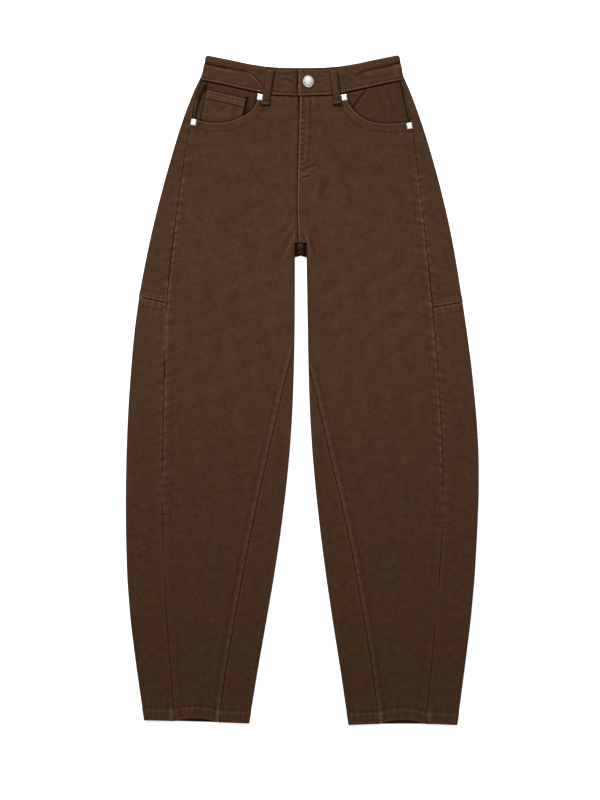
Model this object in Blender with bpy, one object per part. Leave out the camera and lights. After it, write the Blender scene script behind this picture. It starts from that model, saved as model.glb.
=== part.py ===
"""Barrel leg trousers lying flat on a surface, front side up, as a set of cut and sewn pieces.

Sizes are in millimetres until a mesh is made, and meshes are in metres. +Y runs from the hems to
the waistband, +X towards the wearer's left leg, and +Z up from the surface that the back lies on.
The origin is the middle of the outline, on that surface. Left and right are the wearer's.
"""

import math
from typing import NamedTuple

import bmesh
import bpy

MM = 0.001

# Cloth and the heights that its layers lie at
WALL = 1.2
SEAM_GAP = 0.3
TURN_GAP = 0.45
FOLD_HEIGHT = 6.0
HIP_LEVEL = 5.6
LEG_LEVEL = 3.8
FOLD_EASE = 38.0
HIP_ENDS, LEG_BEGINS = 240.0, 80.0
LOOP_LIFT = 1.4
LIFT_BEGINS, LIFT_ENDS = 330.0, 432.0

# Crotch, fly and inseam
FRONT_CROTCH = 226.0
BACK_CROTCH = 205.0
CENTRE_BACK = -2.2
FLY_BOTTOM = 326.0
FLY_UNDERLAP = 9.0
FLY_STEP = 0.9
FLY_EASE = 22.0

# Hem
HEM_DEPTH = 18.0
HEM_LINE = -510.0
HEM_PROUD = 0.5
HEM_WALL = 1.9
HEM_SLANT_BEGINS = -430.0

# Waistband
BAND_WALL = 1.8
BAND_TOP_LEVEL = 7.2
BAND_DIP = 1.2
BAND_RISE = 0.9
BAND_LAP_EASE = 26.0
BAND_OVERLAP_END = -4.8
BAND_UNDERLAP_END = 24.0
BACK_PEEK = 2.5

# Side and mouth of the pockets
FACING_WALL = 1.0
FACING_LEVEL = 2.85
FACING_SEAM_LEVEL = 3.3
FACING_EASE = 10.0
FACING_INNER = 52.0
FACING_BOTTOM = 395.0
COIN_WALL = 1.0
MOUTH_ROW = 395.0

# Belt loops, button and rivets
LOOP_WIDTH = 10.6
LOOP_WALL = 1.2
LOOP_ARCH = 0.9
BACK_LOOP_WALL = 1.1
BACK_LOOP_PLACE = 96.0
BACK_LOOP_BOTTOM, BACK_LOOP_TOP = 438.0, 490.0
BUTTON_PLACE = (9.7, 473.0)
BUTTON_RADIUS = 9.2
BUTTON_STEPS = 28
RIVET_WIDTH, RIVET_HEIGHT, RIVET_DEPTH = 8.0, 9.4, 1.1
RIVET_BEVEL = 0.35


class SideRow(NamedTuple):
    """A section of a leg's outer side: its height, and how far the fold and side seam lie out."""

    up: float
    outer: float
    side_seam: float


class InnerRow(NamedTuple):
    """A section of a leg's inner side: height, inner fold, and how far in the inseam lies from it."""

    up: float
    inner: float
    inseam: float


class Leg(NamedTuple):
    """One side of the trousers: which way it lies from the centre, its sections and its corners."""

    name: str
    sign: int
    side: tuple
    inside: tuple
    hem_outer: float
    hem_inner: float
    back_arch: float
    front_arch: float
    cross_seam: float
    cross_slope: float
    band_top: float


RIGHT = Leg(
    name="right",
    sign=-1,
    side=(
        SideRow(up=476, outer=159.5, side_seam=155.0),
        SideRow(up=447, outer=172.5, side_seam=163.9),
        SideRow(up=416, outer=183.1, side_seam=169.4),
        SideRow(up=354, outer=202.0, side_seam=181.0),
        SideRow(up=293, outer=218.8, side_seam=189.9),
        SideRow(up=231, outer=233.5, side_seam=197.9),
        SideRow(up=139, outer=251.2, side_seam=207.6),
        SideRow(up=46, outer=261.8, side_seam=211.0),
        SideRow(up=-77, outer=269.2, side_seam=213.8),
        SideRow(up=-200, outer=271.0, side_seam=214.1),
        SideRow(up=-323, outer=266.6, side_seam=209.9),
        SideRow(up=-447, outer=251.8, side_seam=200.7),
        SideRow(up=-508, outer=243.3, side_seam=195.7),
    ),
    inside=(
        InnerRow(up=226, inner=10.8, inseam=0),
        InnerRow(up=139, inner=10.9, inseam=0),
        InnerRow(up=72, inner=11.4, inseam=0),
        InnerRow(up=46, inner=12.0, inseam=5.7),
        InnerRow(up=-15, inner=13.7, inseam=19.4),
        InnerRow(up=-77, inner=17.1, inseam=30.2),
        InnerRow(up=-139, inner=22.8, inseam=38.3),
        InnerRow(up=-200, inner=30.0, inseam=44.7),
        InnerRow(up=-262, inner=38.7, inseam=48.3),
        InnerRow(up=-323, inner=49.0, inseam=49.1),
        InnerRow(up=-447, inner=70.7, inseam=49.1),
        InnerRow(up=-512, inner=82.2, inseam=45.8),
    ),
    hem_outer=-507.3,
    hem_inner=-512.2,
    back_arch=0.0,
    front_arch=5.0,
    cross_seam=142.5,
    cross_slope=0.21,
    band_top=148.6,
)

LEFT = Leg(
    name="left",
    sign=1,
    side=(
        SideRow(up=476, outer=159.7, side_seam=151.5),
        SideRow(up=447, outer=172.0, side_seam=160.8),
        SideRow(up=416, outer=182.2, side_seam=166.3),
        SideRow(up=354, outer=201.3, side_seam=176.2),
        SideRow(up=293, outer=217.4, side_seam=183.9),
        SideRow(up=231, outer=230.8, side_seam=190.2),
        SideRow(up=139, outer=246.1, side_seam=199.7),
        SideRow(up=46, outer=259.3, side_seam=207.6),
        SideRow(up=-77, outer=270.7, side_seam=215.4),
        SideRow(up=-139, outer=272.1, side_seam=217.0),
        SideRow(up=-200, outer=270.3, side_seam=216.1),
        SideRow(up=-323, outer=262.6, side_seam=208.5),
        SideRow(up=-447, outer=247.6, side_seam=196.8),
        SideRow(up=-515, outer=238.4, side_seam=190.0),
    ),
    inside=(
        InnerRow(up=226, inner=6.3, inseam=0),
        InnerRow(up=139, inner=8.0, inseam=0),
        InnerRow(up=43, inner=9.6, inseam=0),
        InnerRow(up=-15, inner=11.1, inseam=12.5),
        InnerRow(up=-77, inner=14.2, inseam=23.5),
        InnerRow(up=-139, inner=19.3, inseam=32.9),
        InnerRow(up=-200, inner=25.7, inseam=40.8),
        InnerRow(up=-262, inner=33.4, inseam=45.9),
        InnerRow(up=-323, inner=42.0, inseam=48.2),
        InnerRow(up=-447, inner=61.6, inseam=49.1),
        InnerRow(up=-515, inner=73.4, inseam=45.8),
    ),
    hem_outer=-514.6,
    hem_inner=-514.6,
    back_arch=1.7,
    front_arch=5.5,
    cross_seam=134.4,
    cross_slope=0.17,
    band_top=150.6,
)


class EdgePoint(NamedTuple):
    """A point of a curved edge: how far out from the centre line, and its height."""

    out: float
    up: float


BAND_SEAM = (
    EdgePoint(out=0, up=451.3),
    EdgePoint(out=26, up=451.9),
    EdgePoint(out=50, up=453.4),
    EdgePoint(out=70, up=457.6),
    EdgePoint(out=91, up=462.0),
    EdgePoint(out=137, up=472.2),
    EdgePoint(out=160, up=476.2),
)
BAND_EDGE = (
    EdgePoint(out=0, up=494.8),
    EdgePoint(out=43, up=495.8),
    EdgePoint(out=73, up=499.4),
    EdgePoint(out=97, up=504.2),
    EdgePoint(out=149, up=514.5),
)
CENTRE_FRONT = (
    EdgePoint(out=-4.0, up=452),
    EdgePoint(out=-5.0, up=400),
    EdgePoint(out=-7.0, up=330),
    EdgePoint(out=-7.4, up=270),
    EdgePoint(out=-5.4, up=226),
)
MOUTHS = {
    "right": (
        EdgePoint(out=65.6, up=456.4),
        EdgePoint(out=68.8, up=445.8),
        EdgePoint(out=74.7, up=431.7),
        EdgePoint(out=91.2, up=420.0),
        EdgePoint(out=117.0, up=411.0),
        EdgePoint(out=144.1, up=411.0),
        EdgePoint(out=168.9, up=416.6),
    ),
    "left": (
        EdgePoint(out=67.2, up=456.8),
        EdgePoint(out=69.5, up=443.8),
        EdgePoint(out=75.0, up=434.3),
        EdgePoint(out=90.1, up=419.0),
        EdgePoint(out=113.5, up=410.1),
        EdgePoint(out=141.1, up=409.2),
        EdgePoint(out=166.9, up=410.9),
    ),
}
COIN_CORNERS = {
    "top_outer": EdgePoint(out=-146.3, up=461.0),
    "top_inner": EdgePoint(out=-86.0, up=447.0),
    "bottom_inner": EdgePoint(out=-95.0, up=404.0),
    "bottom_outer": EdgePoint(out=-157.0, up=402.0),
}


class LoopPlace(NamedTuple):
    """Where a front belt loop's two ends lie."""

    name: str
    top: tuple
    bottom: tuple


FRONT_LOOPS = (
    LoopPlace(name="right", top=(-48.2, 492.2), bottom=(-56.4, 437.4)),
    LoopPlace(name="left", top=(47.9, 491.3), bottom=(55.1, 438.9)),
)


class RivetPlace(NamedTuple):
    """Where a square rivet lies, and its turn in degrees, anticlockwise."""

    name: str
    x: float
    y: float
    turn: float


RIVETS = (
    RivetPlace(name="right_inner", x=-64.6, y=449.4, turn=-8.4),
    RivetPlace(name="left_inner", x=64.9, y=448.8, turn=7.8),
    RivetPlace(name="right_outer", x=-166.6, y=410.8, turn=-9.0),
    RivetPlace(name="left_outer", x=165.0, y=405.2, turn=9.0),
)

# Sections along the garment, from the waist down
FRONT_HIP_ROWS = (354, 310, 268, 240, 226, 217)
BACK_HIP_ROWS = (440, 410, 370, 320, 270, 240, 217, 205, 196)
THIGH_ROWS = (165,)
INSEAM_TURN_STEPS = (8, 1, -4, -9, -14, -22)
LEG_ROWS = (-10, -50, -100, -160, -225, -290, -355, -420, -465)
MOUTH_ROWS = 3

# How many strips each stretch of a section has
TAIL_STRIPS = 4
TAIL_LENGTH = 6.0
FRONT_INNER_STRIPS = 5
MOUTH_STRIPS = 9
SIDE_STRIPS = 3
FOLD_STRIPS = 6
BACK_SHARES = (0.0, 0.25, 0.45, 0.6, 0.73, 0.88, 1.0)
INNER_FOLD_STRIPS = 5
BAND_FRONT_STRIPS = 15
BAND_ROWS = 3

COLOURS = {
    "cloth": ((0.068, 0.034, 0.019), 0.9, 0.0),
    "metal": ((0.72, 0.71, 0.68), 0.3, 1.0),
}


def mix(a, b, share):
    """The value that lies a share of the way from a to b."""
    return a + (b - a) * share


def ease(start, end, at):
    """A smooth step from 0 at start to 1 at end."""
    share = min(1.0, max(0.0, (at - start) / (end - start)))
    return share * share * (3 - 2 * share)


def along(places, values, at):
    """A smooth curve through values at places, which rise; straight beyond its two ends."""
    last = len(places) - 1
    slopes = [(values[i + 1] - values[i]) / (places[i + 1] - places[i]) for i in range(last)]
    bends = [slopes[0]] + [(slopes[i - 1] + slopes[i]) / 2 for i in range(1, last)] + [slopes[-1]]
    if at <= places[0]:
        return values[0] + bends[0] * (at - places[0])
    if at >= places[-1]:
        return values[-1] + bends[-1] * (at - places[-1])
    i = next(k for k in range(last) if at <= places[k + 1])
    width = places[i + 1] - places[i]
    t = (at - places[i]) / width
    return (
        values[i] * (1 + 2 * t) * (1 - t) ** 2
        + values[i + 1] * t * t * (3 - 2 * t)
        + width * (bends[i] * t * (1 - t) ** 2 - bends[i + 1] * t * t * (1 - t))
    )


def section(rows, column, y):
    """A column of a table of sections, read at height y."""
    upward = rows[::-1]
    return along([row.up for row in upward], [getattr(row, column) for row in upward], y)


def edge_height(points, x):
    """The height of a curved edge at a distance from the centre line."""
    return along([p.out for p in points], [p.up for p in points], abs(x))


def centre_front(y):
    """Where the centre front seam lies at height y."""
    upward = CENTRE_FRONT[::-1]
    return along([p.up for p in upward], [p.out for p in upward], y)


def lift(y):
    """How far the layers rise towards the waist, over the belt loops at the back."""
    return LOOP_LIFT * ease(LIFT_BEGINS, LIFT_ENDS, y)


def fold_radius(proud):
    """The outer radius of a folded edge."""
    return (FOLD_HEIGHT + proud) / 2


def front_level(leg, x, y, proud=0.0):
    """The height of the front's outer side: full at the folds, lower between them."""
    radius = fold_radius(0)
    rest = mix(LEG_LEVEL, HIP_LEVEL, ease(LEG_BEGINS, HIP_ENDS, y))
    outer = section(leg.side, "outer", y) - abs(x)
    near = 1 - ease(radius, radius + FOLD_EASE, outer)
    if y < FRONT_CROTCH:
        inner = leg.sign * x - section(leg.inside, "inner", y)
        near = max(near, 1 - ease(radius, radius + FOLD_EASE, inner))
    return lift(y) + mix(rest, FOLD_HEIGHT, near) + proud


def fly_step(leg, x, y):
    """How the left front rises over the right one at the fly."""
    near = 1 - ease(0, FLY_EASE, leg.sign * (x - centre_front(y)))
    return leg.sign * FLY_STEP * near * ease(FLY_BOTTOM - 46, FLY_BOTTOM - 16, y)


def share_between(start, end, at):
    """How far at lies on the way from start to end, from 0 to 1."""
    return min(1.0, max(0.0, (at - start) / (end - start)))


def row_height(leg, row, x, front):
    """The height of a section's point: rows bend to follow the waistband and the hem."""
    up = ease(MOUTH_ROW, BAND_SEAM[0].up, row) * (edge_height(BAND_SEAM, x) - BAND_SEAM[0].up)
    inner = section(leg.inside, "inner", row)
    across = share_between(inner, section(leg.side, "outer", row), leg.sign * x)
    hem = mix(leg.hem_inner, leg.hem_outer, across) + leg.back_arch * 4 * across * (1 - across)
    if front:
        inseam, side_seam = inner + section(leg.inside, "inseam", row), section(leg.side, "side_seam", row)
        across = share_between(inseam, side_seam, leg.sign * x)
        hem += leg.front_arch * 4 * across * (1 - across)
    return row + up + ease(HEM_SLANT_BEGINS, HEM_LINE + HEM_DEPTH, row) * (hem - HEM_LINE)


def outer_height(leg, row):
    """The height of a section at the outer fold."""
    return row_height(leg, row, section(leg.side, "outer", row), False)


def inseam_arc(leg, y, radius):
    """How far round the inner fold the inseam lies, measured on the outside from the very edge."""
    inward = max(0.0, section(leg.inside, "inseam", y))
    if inward < radius:
        return radius * math.acos(1 - inward / radius)
    return radius * math.pi / 2 + inward - radius


class Spot(NamedTuple):
    """A point on the outside of a section, with the direction that points into the wall."""

    x: float
    z: float
    in_x: float
    in_z: float


def fold_spot(edge, way, radius, floor, turn):
    """A point on a fold: edge is its outermost x, way its outward sign, turn 90 at the top, -90 below."""
    c, s = math.cos(math.radians(turn)), math.sin(math.radians(turn))
    return Spot(edge - way * radius * (1 - c), floor + radius * (1 + s), -way * c, -s)


def inner_spot(leg, y, arc, radius, proud):
    """A point round the inner fold, at a distance from the very edge; above zero is the front."""
    edge = leg.sign * section(leg.inside, "inner", y)
    quarter = radius * math.pi / 2
    if abs(arc) <= quarter:
        return fold_spot(edge, -leg.sign, radius, lift(y), math.degrees(arc / radius))
    x = edge + leg.sign * (radius + abs(arc) - quarter)
    if arc < 0:
        return Spot(x, lift(y), 0, 1)
    return Spot(x, front_level(leg, x, y, proud), 0, -1)


def strips(count, start, end):
    """Evenly spaced values from start to end, both kept."""
    return [mix(start, end, i / count) for i in range(count + 1)]


def make_solid(name, rows, walls, material):
    """A closed wall from rows of points on its outside.

    Each point is (x, y, z, in_x, in_z), and walls gives each row's thickness.
    """
    mesh = bpy.data.meshes.new(name)
    shape = bmesh.new()
    outside, inside = [], []
    for row, wall in zip(rows, walls):
        outside.append([shape.verts.new((x * MM, y * MM, z * MM)) for x, y, z, _, _ in row])
        inside.append(
            [
                shape.verts.new(((x + a * wall) * MM, y * MM, (z + b * wall) * MM))
                for x, y, z, a, b in row
            ]
        )
    last_row, last = len(rows) - 1, len(rows[0]) - 1
    for i in range(last_row):
        for j in range(last):
            for side, order in ((outside, 1), (inside, -1)):
                corners = (side[i][j], side[i][j + 1], side[i + 1][j + 1], side[i + 1][j])
                shape.faces.new(corners[::order])
    rim = [(0, j, 0, j + 1) for j in range(last)]
    rim += [(i, last, i + 1, last) for i in range(last_row)]
    rim += [(last_row, j + 1, last_row, j) for j in reversed(range(last))]
    rim += [(i + 1, 0, i, 0) for i in reversed(range(last_row))]
    for i, j, k, m in rim:
        shape.faces.new((outside[k][m], outside[i][j], inside[i][j], inside[k][m]))
    bmesh.ops.recalc_face_normals(shape, faces=shape.faces)
    shape.to_mesh(mesh)
    shape.free()
    return add_object(name, mesh, material)


def add_object(name, mesh, material):
    """Puts a mesh in the scene as an object with a material."""
    mesh.materials.append(material)
    mesh.shade_smooth()
    mesh.set_sharp_from_angle(angle=math.radians(35))
    obj = bpy.data.objects.new(name, mesh)
    bpy.context.scene.collection.objects.link(obj)
    return obj


def make_material(name):
    """A plain material from the table of colours."""
    colour, roughness, metallic = COLOURS[name]
    material = bpy.data.materials.new(name)
    material.use_nodes = True
    shader = material.node_tree.nodes["Principled BSDF"]
    shader.inputs["Base Color"].default_value = (*colour, 1)
    shader.inputs["Roughness"].default_value = roughness
    shader.inputs["Metallic"].default_value = metallic
    return material


def placed(leg, row, spots, front):
    """Adds the height along the garment to a section's spots."""
    return [(s.x, row_height(leg, row, s.x, front), s.z, s.in_x, s.in_z) for s in spots]


def leg_rows(leg):
    """The sections below the cross seam, closer where the inseam comes round the inner fold."""
    turn = next(row.up for row in leg.inside[::-1] if row.inseam == 0)
    return (105, *(turn + step for step in INSEAM_TURN_STEPS), *LEG_ROWS)


def hem_rows():
    """The last sections: a step at the top of the turned hem, and its edge."""
    top = HEM_LINE + HEM_DEPTH
    return ((top, 0.0, WALL), (top - 0.8, HEM_PROUD, HEM_WALL), (HEM_LINE, HEM_PROUD, HEM_WALL))


def front_spots(leg, row, proud):
    """A section of a front panel, from the centre or inseam out to the side seam."""
    radius = fold_radius(proud)
    if row > FRONT_CROTCH - 1:
        lap = FLY_UNDERLAP * ease(FLY_BOTTOM - 2, FLY_BOTTOM + 8, row) if leg.sign < 0 else 0
        start = centre_front(row) + leg.sign * (SEAM_GAP / 2 - lap)
        begin = start + leg.sign * (TAIL_LENGTH + lap)
        tail = [
            Spot(x, front_level(leg, x, row) + fly_step(leg, x, row), 0, -1)
            for x in strips(TAIL_STRIPS, start, begin)
        ]
    else:
        first = inseam_arc(leg, row, radius)
        first += SEAM_GAP / 2 + TURN_GAP * math.sin(math.pi * share_between(0, radius * math.pi, first))
        end = max(first, radius * math.pi / 2) + TAIL_LENGTH
        tail = [inner_spot(leg, row, arc, radius, proud) for arc in strips(TAIL_STRIPS, first, end)]
        begin = tail[-1].x
    seam = leg.sign * (section(leg.side, "side_seam", outer_height(leg, row)) - SEAM_GAP / 2)
    flat = strips(FRONT_INNER_STRIPS + MOUTH_STRIPS, begin, seam)[1:]
    return tail + [
        Spot(x, front_level(leg, x, row, proud) + fly_step(leg, x, row), 0, -1) for x in flat
    ]


def mouth_edge(leg):
    """The top edge of a front panel: along the waistband seam, then down round the pocket mouth."""
    lap = FLY_UNDERLAP if leg.sign < 0 else 0
    mouth = MOUTHS[leg.name]
    start = centre_front(BAND_SEAM[0].up) * leg.sign + SEAM_GAP / 2 - lap
    begin = start + TAIL_LENGTH + lap
    top = strips(TAIL_STRIPS, start, begin)
    top += strips(FRONT_INNER_STRIPS, begin, mouth[0].out)[1:]
    points = [(leg.sign * x, edge_height(BAND_SEAM, x) - SEAM_GAP / 2) for x in top]
    steps = [0.0]
    for a, b in zip(mouth, mouth[1:]):
        steps.append(steps[-1] + math.dist(a, b))
    for step in strips(MOUTH_STRIPS, 0, steps[-1])[1:]:
        out = along(steps, [p.out for p in mouth], step)
        up = along(steps, [p.up for p in mouth], step)
        points.append((leg.sign * (out - SEAM_GAP / 2 * (step == steps[-1])), up))
    return points


def make_front(leg, material):
    """A front panel: cut round the pocket mouth, and wrapped over the inner fold below the crotch."""
    rows = []
    joined = [spot.x for spot in front_spots(leg, MOUTH_ROW, 0)]
    for share in strips(MOUTH_ROWS, 1, 0)[:-1]:
        row = []
        for (x, y), low in zip(mouth_edge(leg), joined):
            px, py = mix(low, x, share), mix(MOUTH_ROW, y, share)
            row.append((px, py, front_level(leg, px, py) + fly_step(leg, px, py), 0, -1))
        rows.append(row)
    walls = [WALL] * len(rows)
    straight = (MOUTH_ROW, *FRONT_HIP_ROWS, 190, *THIGH_ROWS, leg.cross_seam, *leg_rows(leg))
    sections = [(row, 0.0, WALL) for row in straight]
    for row, proud, wall in (*sections, *hem_rows()):
        rows.append(placed(leg, row, front_spots(leg, row, proud), True))
        walls.append(wall)
    make_solid(f"front_{leg.name}", rows, walls, material)


def back_middle(leg):
    """Where a back panel's wider strips end, beside the centre back seam."""
    return CENTRE_BACK + leg.sign * TAIL_LENGTH * 2


def side_slope(leg, row):
    """How steeply the sections run down towards the side seam, near the cross seam."""
    return leg.cross_slope * (1 - ease(0, 130, abs(row - leg.cross_seam)))


def back_spots(leg, row, proud):
    """A section of a back panel, from the side seam round the outer fold to the centre or inseam."""
    radius = fold_radius(proud)
    y = outer_height(leg, row)
    edge = leg.sign * section(leg.side, "outer", y)
    turn = edge - leg.sign * radius
    sloped = y - side_slope(leg, row) * (abs(turn) - section(leg.side, "side_seam", y))
    seam = leg.sign * (section(leg.side, "side_seam", sloped) + SEAM_GAP / 2)
    floor = lift(row)
    spots = [
        Spot(x, floor + mix(front_level(leg, x, y, proud) - lift(y), FOLD_HEIGHT + proud, i == SIDE_STRIPS), 0, -1)
        for i, x in enumerate(strips(SIDE_STRIPS, seam, turn))
    ]
    spots += [fold_spot(edge, leg.sign, radius, floor, a) for a in strips(FOLD_STRIPS, 90, -90)[1:]]
    if row > BACK_CROTCH - 1:
        end = CENTRE_BACK + leg.sign * SEAM_GAP / 2
        inner = back_middle(leg)
        tail = strips(INNER_FOLD_STRIPS + SIDE_STRIPS, inner, end)[1:]
        back = [mix(turn, inner, share) for share in BACK_SHARES[1:]]
        return spots + [Spot(x, floor, 0, 1) for x in back + tail]
    quarter = radius * math.pi / 2
    reach = inseam_arc(leg, row, radius) - SEAM_GAP / 2 + quarter
    fold = min(2 * quarter, 0.7 * reach)
    arcs = strips(INNER_FOLD_STRIPS, 0, fold) + strips(SIDE_STRIPS, fold, reach)[1:]
    begin = inner_spot(leg, row, -quarter, radius, proud).x
    spots += [Spot(mix(turn, begin, share), floor, 0, 1) for share in BACK_SHARES[1:]]
    return spots + [inner_spot(leg, row, arc - quarter, radius, proud) for arc in arcs[1:]]


def back_row(leg, row, proud, gap):
    """A row of a back panel, sloped on the front side as the cross seam is, and moved by gap."""
    made = placed(leg, row, back_spots(leg, row, proud), False)
    turn = abs(made[SIDE_STRIPS][0])
    for i in range(SIDE_STRIPS):
        x, y, z, in_x, in_z = made[i]
        made[i] = (x, y - side_slope(leg, row) * (turn - abs(x)), z, in_x, in_z)
    return [(x, y + gap, z, a, b) for x, y, z, a, b in made]


def make_backs(leg, material):
    """The upper and lower back panels, which meet at the cross seam over the thigh."""
    upper = [(row, 0.0, WALL, 0.0) for row in (*BACK_HIP_ROWS, *THIGH_ROWS)]
    upper.insert(0, (BAND_SEAM[0].up, 0.0, WALL, -SEAM_GAP / 2))
    upper.append((leg.cross_seam, 0.0, WALL, SEAM_GAP / 2))
    lower = [(row, 0.0, WALL, 0.0) for row in leg_rows(leg)]
    lower.insert(0, (leg.cross_seam, 0.0, WALL, -SEAM_GAP / 2))
    lower += [(*row, 0.0) for row in hem_rows()]
    for part, sections in (("upper", upper), ("lower", lower)):
        rows = [back_row(leg, row, proud, gap) for row, proud, _, gap in sections]
        make_solid(f"back_{part}_{leg.name}", rows, [s[2] for s in sections], material)


def facing_level(leg, x, y):
    """The height of a pocket facing, which rises to the side seam."""
    inward = section(leg.side, "side_seam", y) - abs(x)
    return lift(y) + mix(FACING_SEAM_LEVEL, FACING_LEVEL, ease(0, FACING_EASE, inward))


def make_facing(leg, material):
    """The piece seen inside a pocket mouth."""
    columns, heights = 10, 4
    rows = []
    for share in strips(heights, 0, 1):
        row = []
        for across in strips(columns, 0, 1):
            x = mix(FACING_INNER, section(leg.side, "side_seam", FACING_BOTTOM), across)
            top = edge_height(BAND_SEAM, x) - SEAM_GAP / 2
            y = mix(FACING_BOTTOM, top, share)
            x = leg.sign * mix(FACING_INNER, section(leg.side, "side_seam", y) - SEAM_GAP / 2, across)
            y = mix(FACING_BOTTOM, edge_height(BAND_SEAM, x) - SEAM_GAP / 2, share)
            row.append((x, y, facing_level(leg, x, y), 0, -1))
        rows.append(row)
    make_solid(f"pocket_facing_{leg.name}", rows, [FACING_WALL] * len(rows), material)


def make_coin_pocket(leg, material):
    """The small patch pocket on the right facing, made from the facing's points, moved out."""
    corner = COIN_CORNERS
    rows = []
    for share in strips(4, 0, 1):
        row = []
        for across in strips(5, 0, 1):
            x, y = (
                mix(
                    mix(corner["bottom_outer"][i], corner["bottom_inner"][i], across),
                    mix(corner["top_outer"][i], corner["top_inner"][i], across),
                    share,
                )
                for i in (0, 1)
            )
            row.append((x, y, facing_level(leg, x, y) + SEAM_GAP + COIN_WALL, 0, -1))
        rows.append(row)
    make_solid("coin_pocket", rows, [COIN_WALL] * len(rows), material)


def band_level(x, left):
    """The height of the waistband's front: the left end lies over the right one at the centre."""
    if left:
        near = 1 - ease(BAND_UNDERLAP_END, BAND_UNDERLAP_END + BAND_LAP_EASE, x)
        return BAND_TOP_LEVEL + BAND_RISE * near
    near = ease(BAND_OVERLAP_END - BAND_LAP_EASE, BAND_OVERLAP_END, x)
    return BAND_TOP_LEVEL - BAND_DIP * near


def band_spots(share):
    """A ring of the waistband, a share of the way from its seam to its top edge."""
    radius = (BAND_TOP_LEVEL - LOOP_LIFT) / 2
    edges = [
        leg.sign * mix(section(leg.side, "outer", BAND_SEAM[-1].up), leg.band_top, share)
        for leg in (RIGHT, LEFT)
    ]
    right, left = edges[0] + radius, edges[1] - radius
    spots = [
        (Spot(x, band_level(x, False), 0, -1), True)
        for x in strips(BAND_FRONT_STRIPS, BAND_UNDERLAP_END, right)
    ]
    spots += [
        (fold_spot(edges[0], -1, radius, LOOP_LIFT, a), a > -45)
        for a in strips(FOLD_STRIPS, 90, -90)[1:]
    ]
    under = [mix(right, back_middle(RIGHT), at) for at in BACK_SHARES[1:]]
    under += [mix(left, back_middle(LEFT), at) for at in BACK_SHARES[::-1]]
    spots += [(Spot(x, LOOP_LIFT, 0, 1), False) for x in under]
    spots += [
        (fold_spot(edges[1], 1, radius, LOOP_LIFT, a), a > -45)
        for a in strips(FOLD_STRIPS, -90, 90)[1:]
    ]
    spots += [
        (Spot(x, band_level(x, True), 0, -1), True)
        for x in strips(BAND_FRONT_STRIPS, left, BAND_OVERLAP_END)[1:]
    ]
    return spots


def band_height(x, share, front):
    """The height of a point of the waistband; its back shows a little above the front."""
    top = edge_height(BAND_EDGE, x)
    if front:
        top -= BACK_PEEK * (1 - ease(40, 110, abs(x)))
    return mix(edge_height(BAND_SEAM, x) + SEAM_GAP / 2, top, share)


def make_waistband(material):
    """One shaped strip, from the underlap round both sides to the overlap that the button closes."""
    rows = []
    for share in strips(BAND_ROWS, 0, 1):
        rows.append(
            [
                (spot.x, band_height(spot.x, share, front), spot.z, spot.in_x, spot.in_z)
                for spot, front in band_spots(share)
            ]
        )
    make_solid("waistband", rows, [BAND_WALL] * len(rows), material)


def make_front_loop(place, material):
    """A belt loop: a narrow strip over the waistband, sewn at both ends and arched between them."""
    rows = []
    (x0, y0), (x1, y1) = place.top, place.bottom
    length = math.hypot(x1 - x0, y1 - y0)
    across = (-(y1 - y0) / length, (x1 - x0) / length)
    base = BAND_TOP_LEVEL + SEAM_GAP + LOOP_WALL
    for share in strips(8, 0, 1):
        z = base + LOOP_ARCH * math.sin(math.pi * share) ** 0.7
        row = []
        for side in (-1, 0, 1):
            x = mix(x0, x1, share) + side * LOOP_WIDTH / 2 * across[0]
            y = mix(y0, y1, share) + side * LOOP_WIDTH / 2 * across[1]
            row.append((x, y, z, 0, -1))
        rows.append(row)
    make_solid(f"belt_loop_front_{place.name}", rows, [LOOP_WALL] * len(rows), material)


def make_back_loop(name, middle, material):
    """A plain belt loop under the waistband's back, which the garment lies on."""
    raised = edge_height(BAND_SEAM, middle) - BAND_SEAM[0].up
    rows = []
    for y in strips(2, BACK_LOOP_BOTTOM + raised, BACK_LOOP_TOP + raised):
        row = [(middle + side * LOOP_WIDTH / 2, y, BACK_LOOP_WALL, 0, -1) for side in (-1, 0, 1)]
        rows.append(row)
    make_solid(f"belt_loop_back_{name}", rows, [BACK_LOOP_WALL] * len(rows), material)


def make_button(material):
    """A domed tack button on its short neck, turned about its own axis."""
    base = BAND_TOP_LEVEL + BAND_RISE + SEAM_GAP
    neck, rim, dome = 4.2, 1.0, 3.4
    profile = [
        (0.0, 0.0),
        (neck, 0.0),
        (neck, rim),
        (BUTTON_RADIUS - 0.6, rim),
        (BUTTON_RADIUS, rim + 0.6),
        (BUTTON_RADIUS - 0.3, rim + 1.2),
        (BUTTON_RADIUS * 0.86, rim + 1.6),
        (BUTTON_RADIUS * 0.5, dome - 0.25),
        (0.0, dome),
    ]
    mesh = bpy.data.meshes.new("button")
    shape = bmesh.new()
    points = [shape.verts.new((r * MM, 0, z * MM)) for r, z in profile]
    edges = [shape.edges.new(pair) for pair in zip(points, points[1:])]
    bmesh.ops.spin(
        shape,
        geom=points + edges,
        axis=(0, 0, 1),
        cent=(0, 0, 0),
        angle=math.tau,
        steps=BUTTON_STEPS,
        use_merge=True,
    )
    bmesh.ops.remove_doubles(shape, verts=shape.verts, dist=0.00001)
    bmesh.ops.recalc_face_normals(shape, faces=shape.faces)
    shape.to_mesh(mesh)
    shape.free()
    obj = add_object("button", mesh, material)
    obj.location = (BUTTON_PLACE[0] * MM, BUTTON_PLACE[1] * MM, base * MM)


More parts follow.
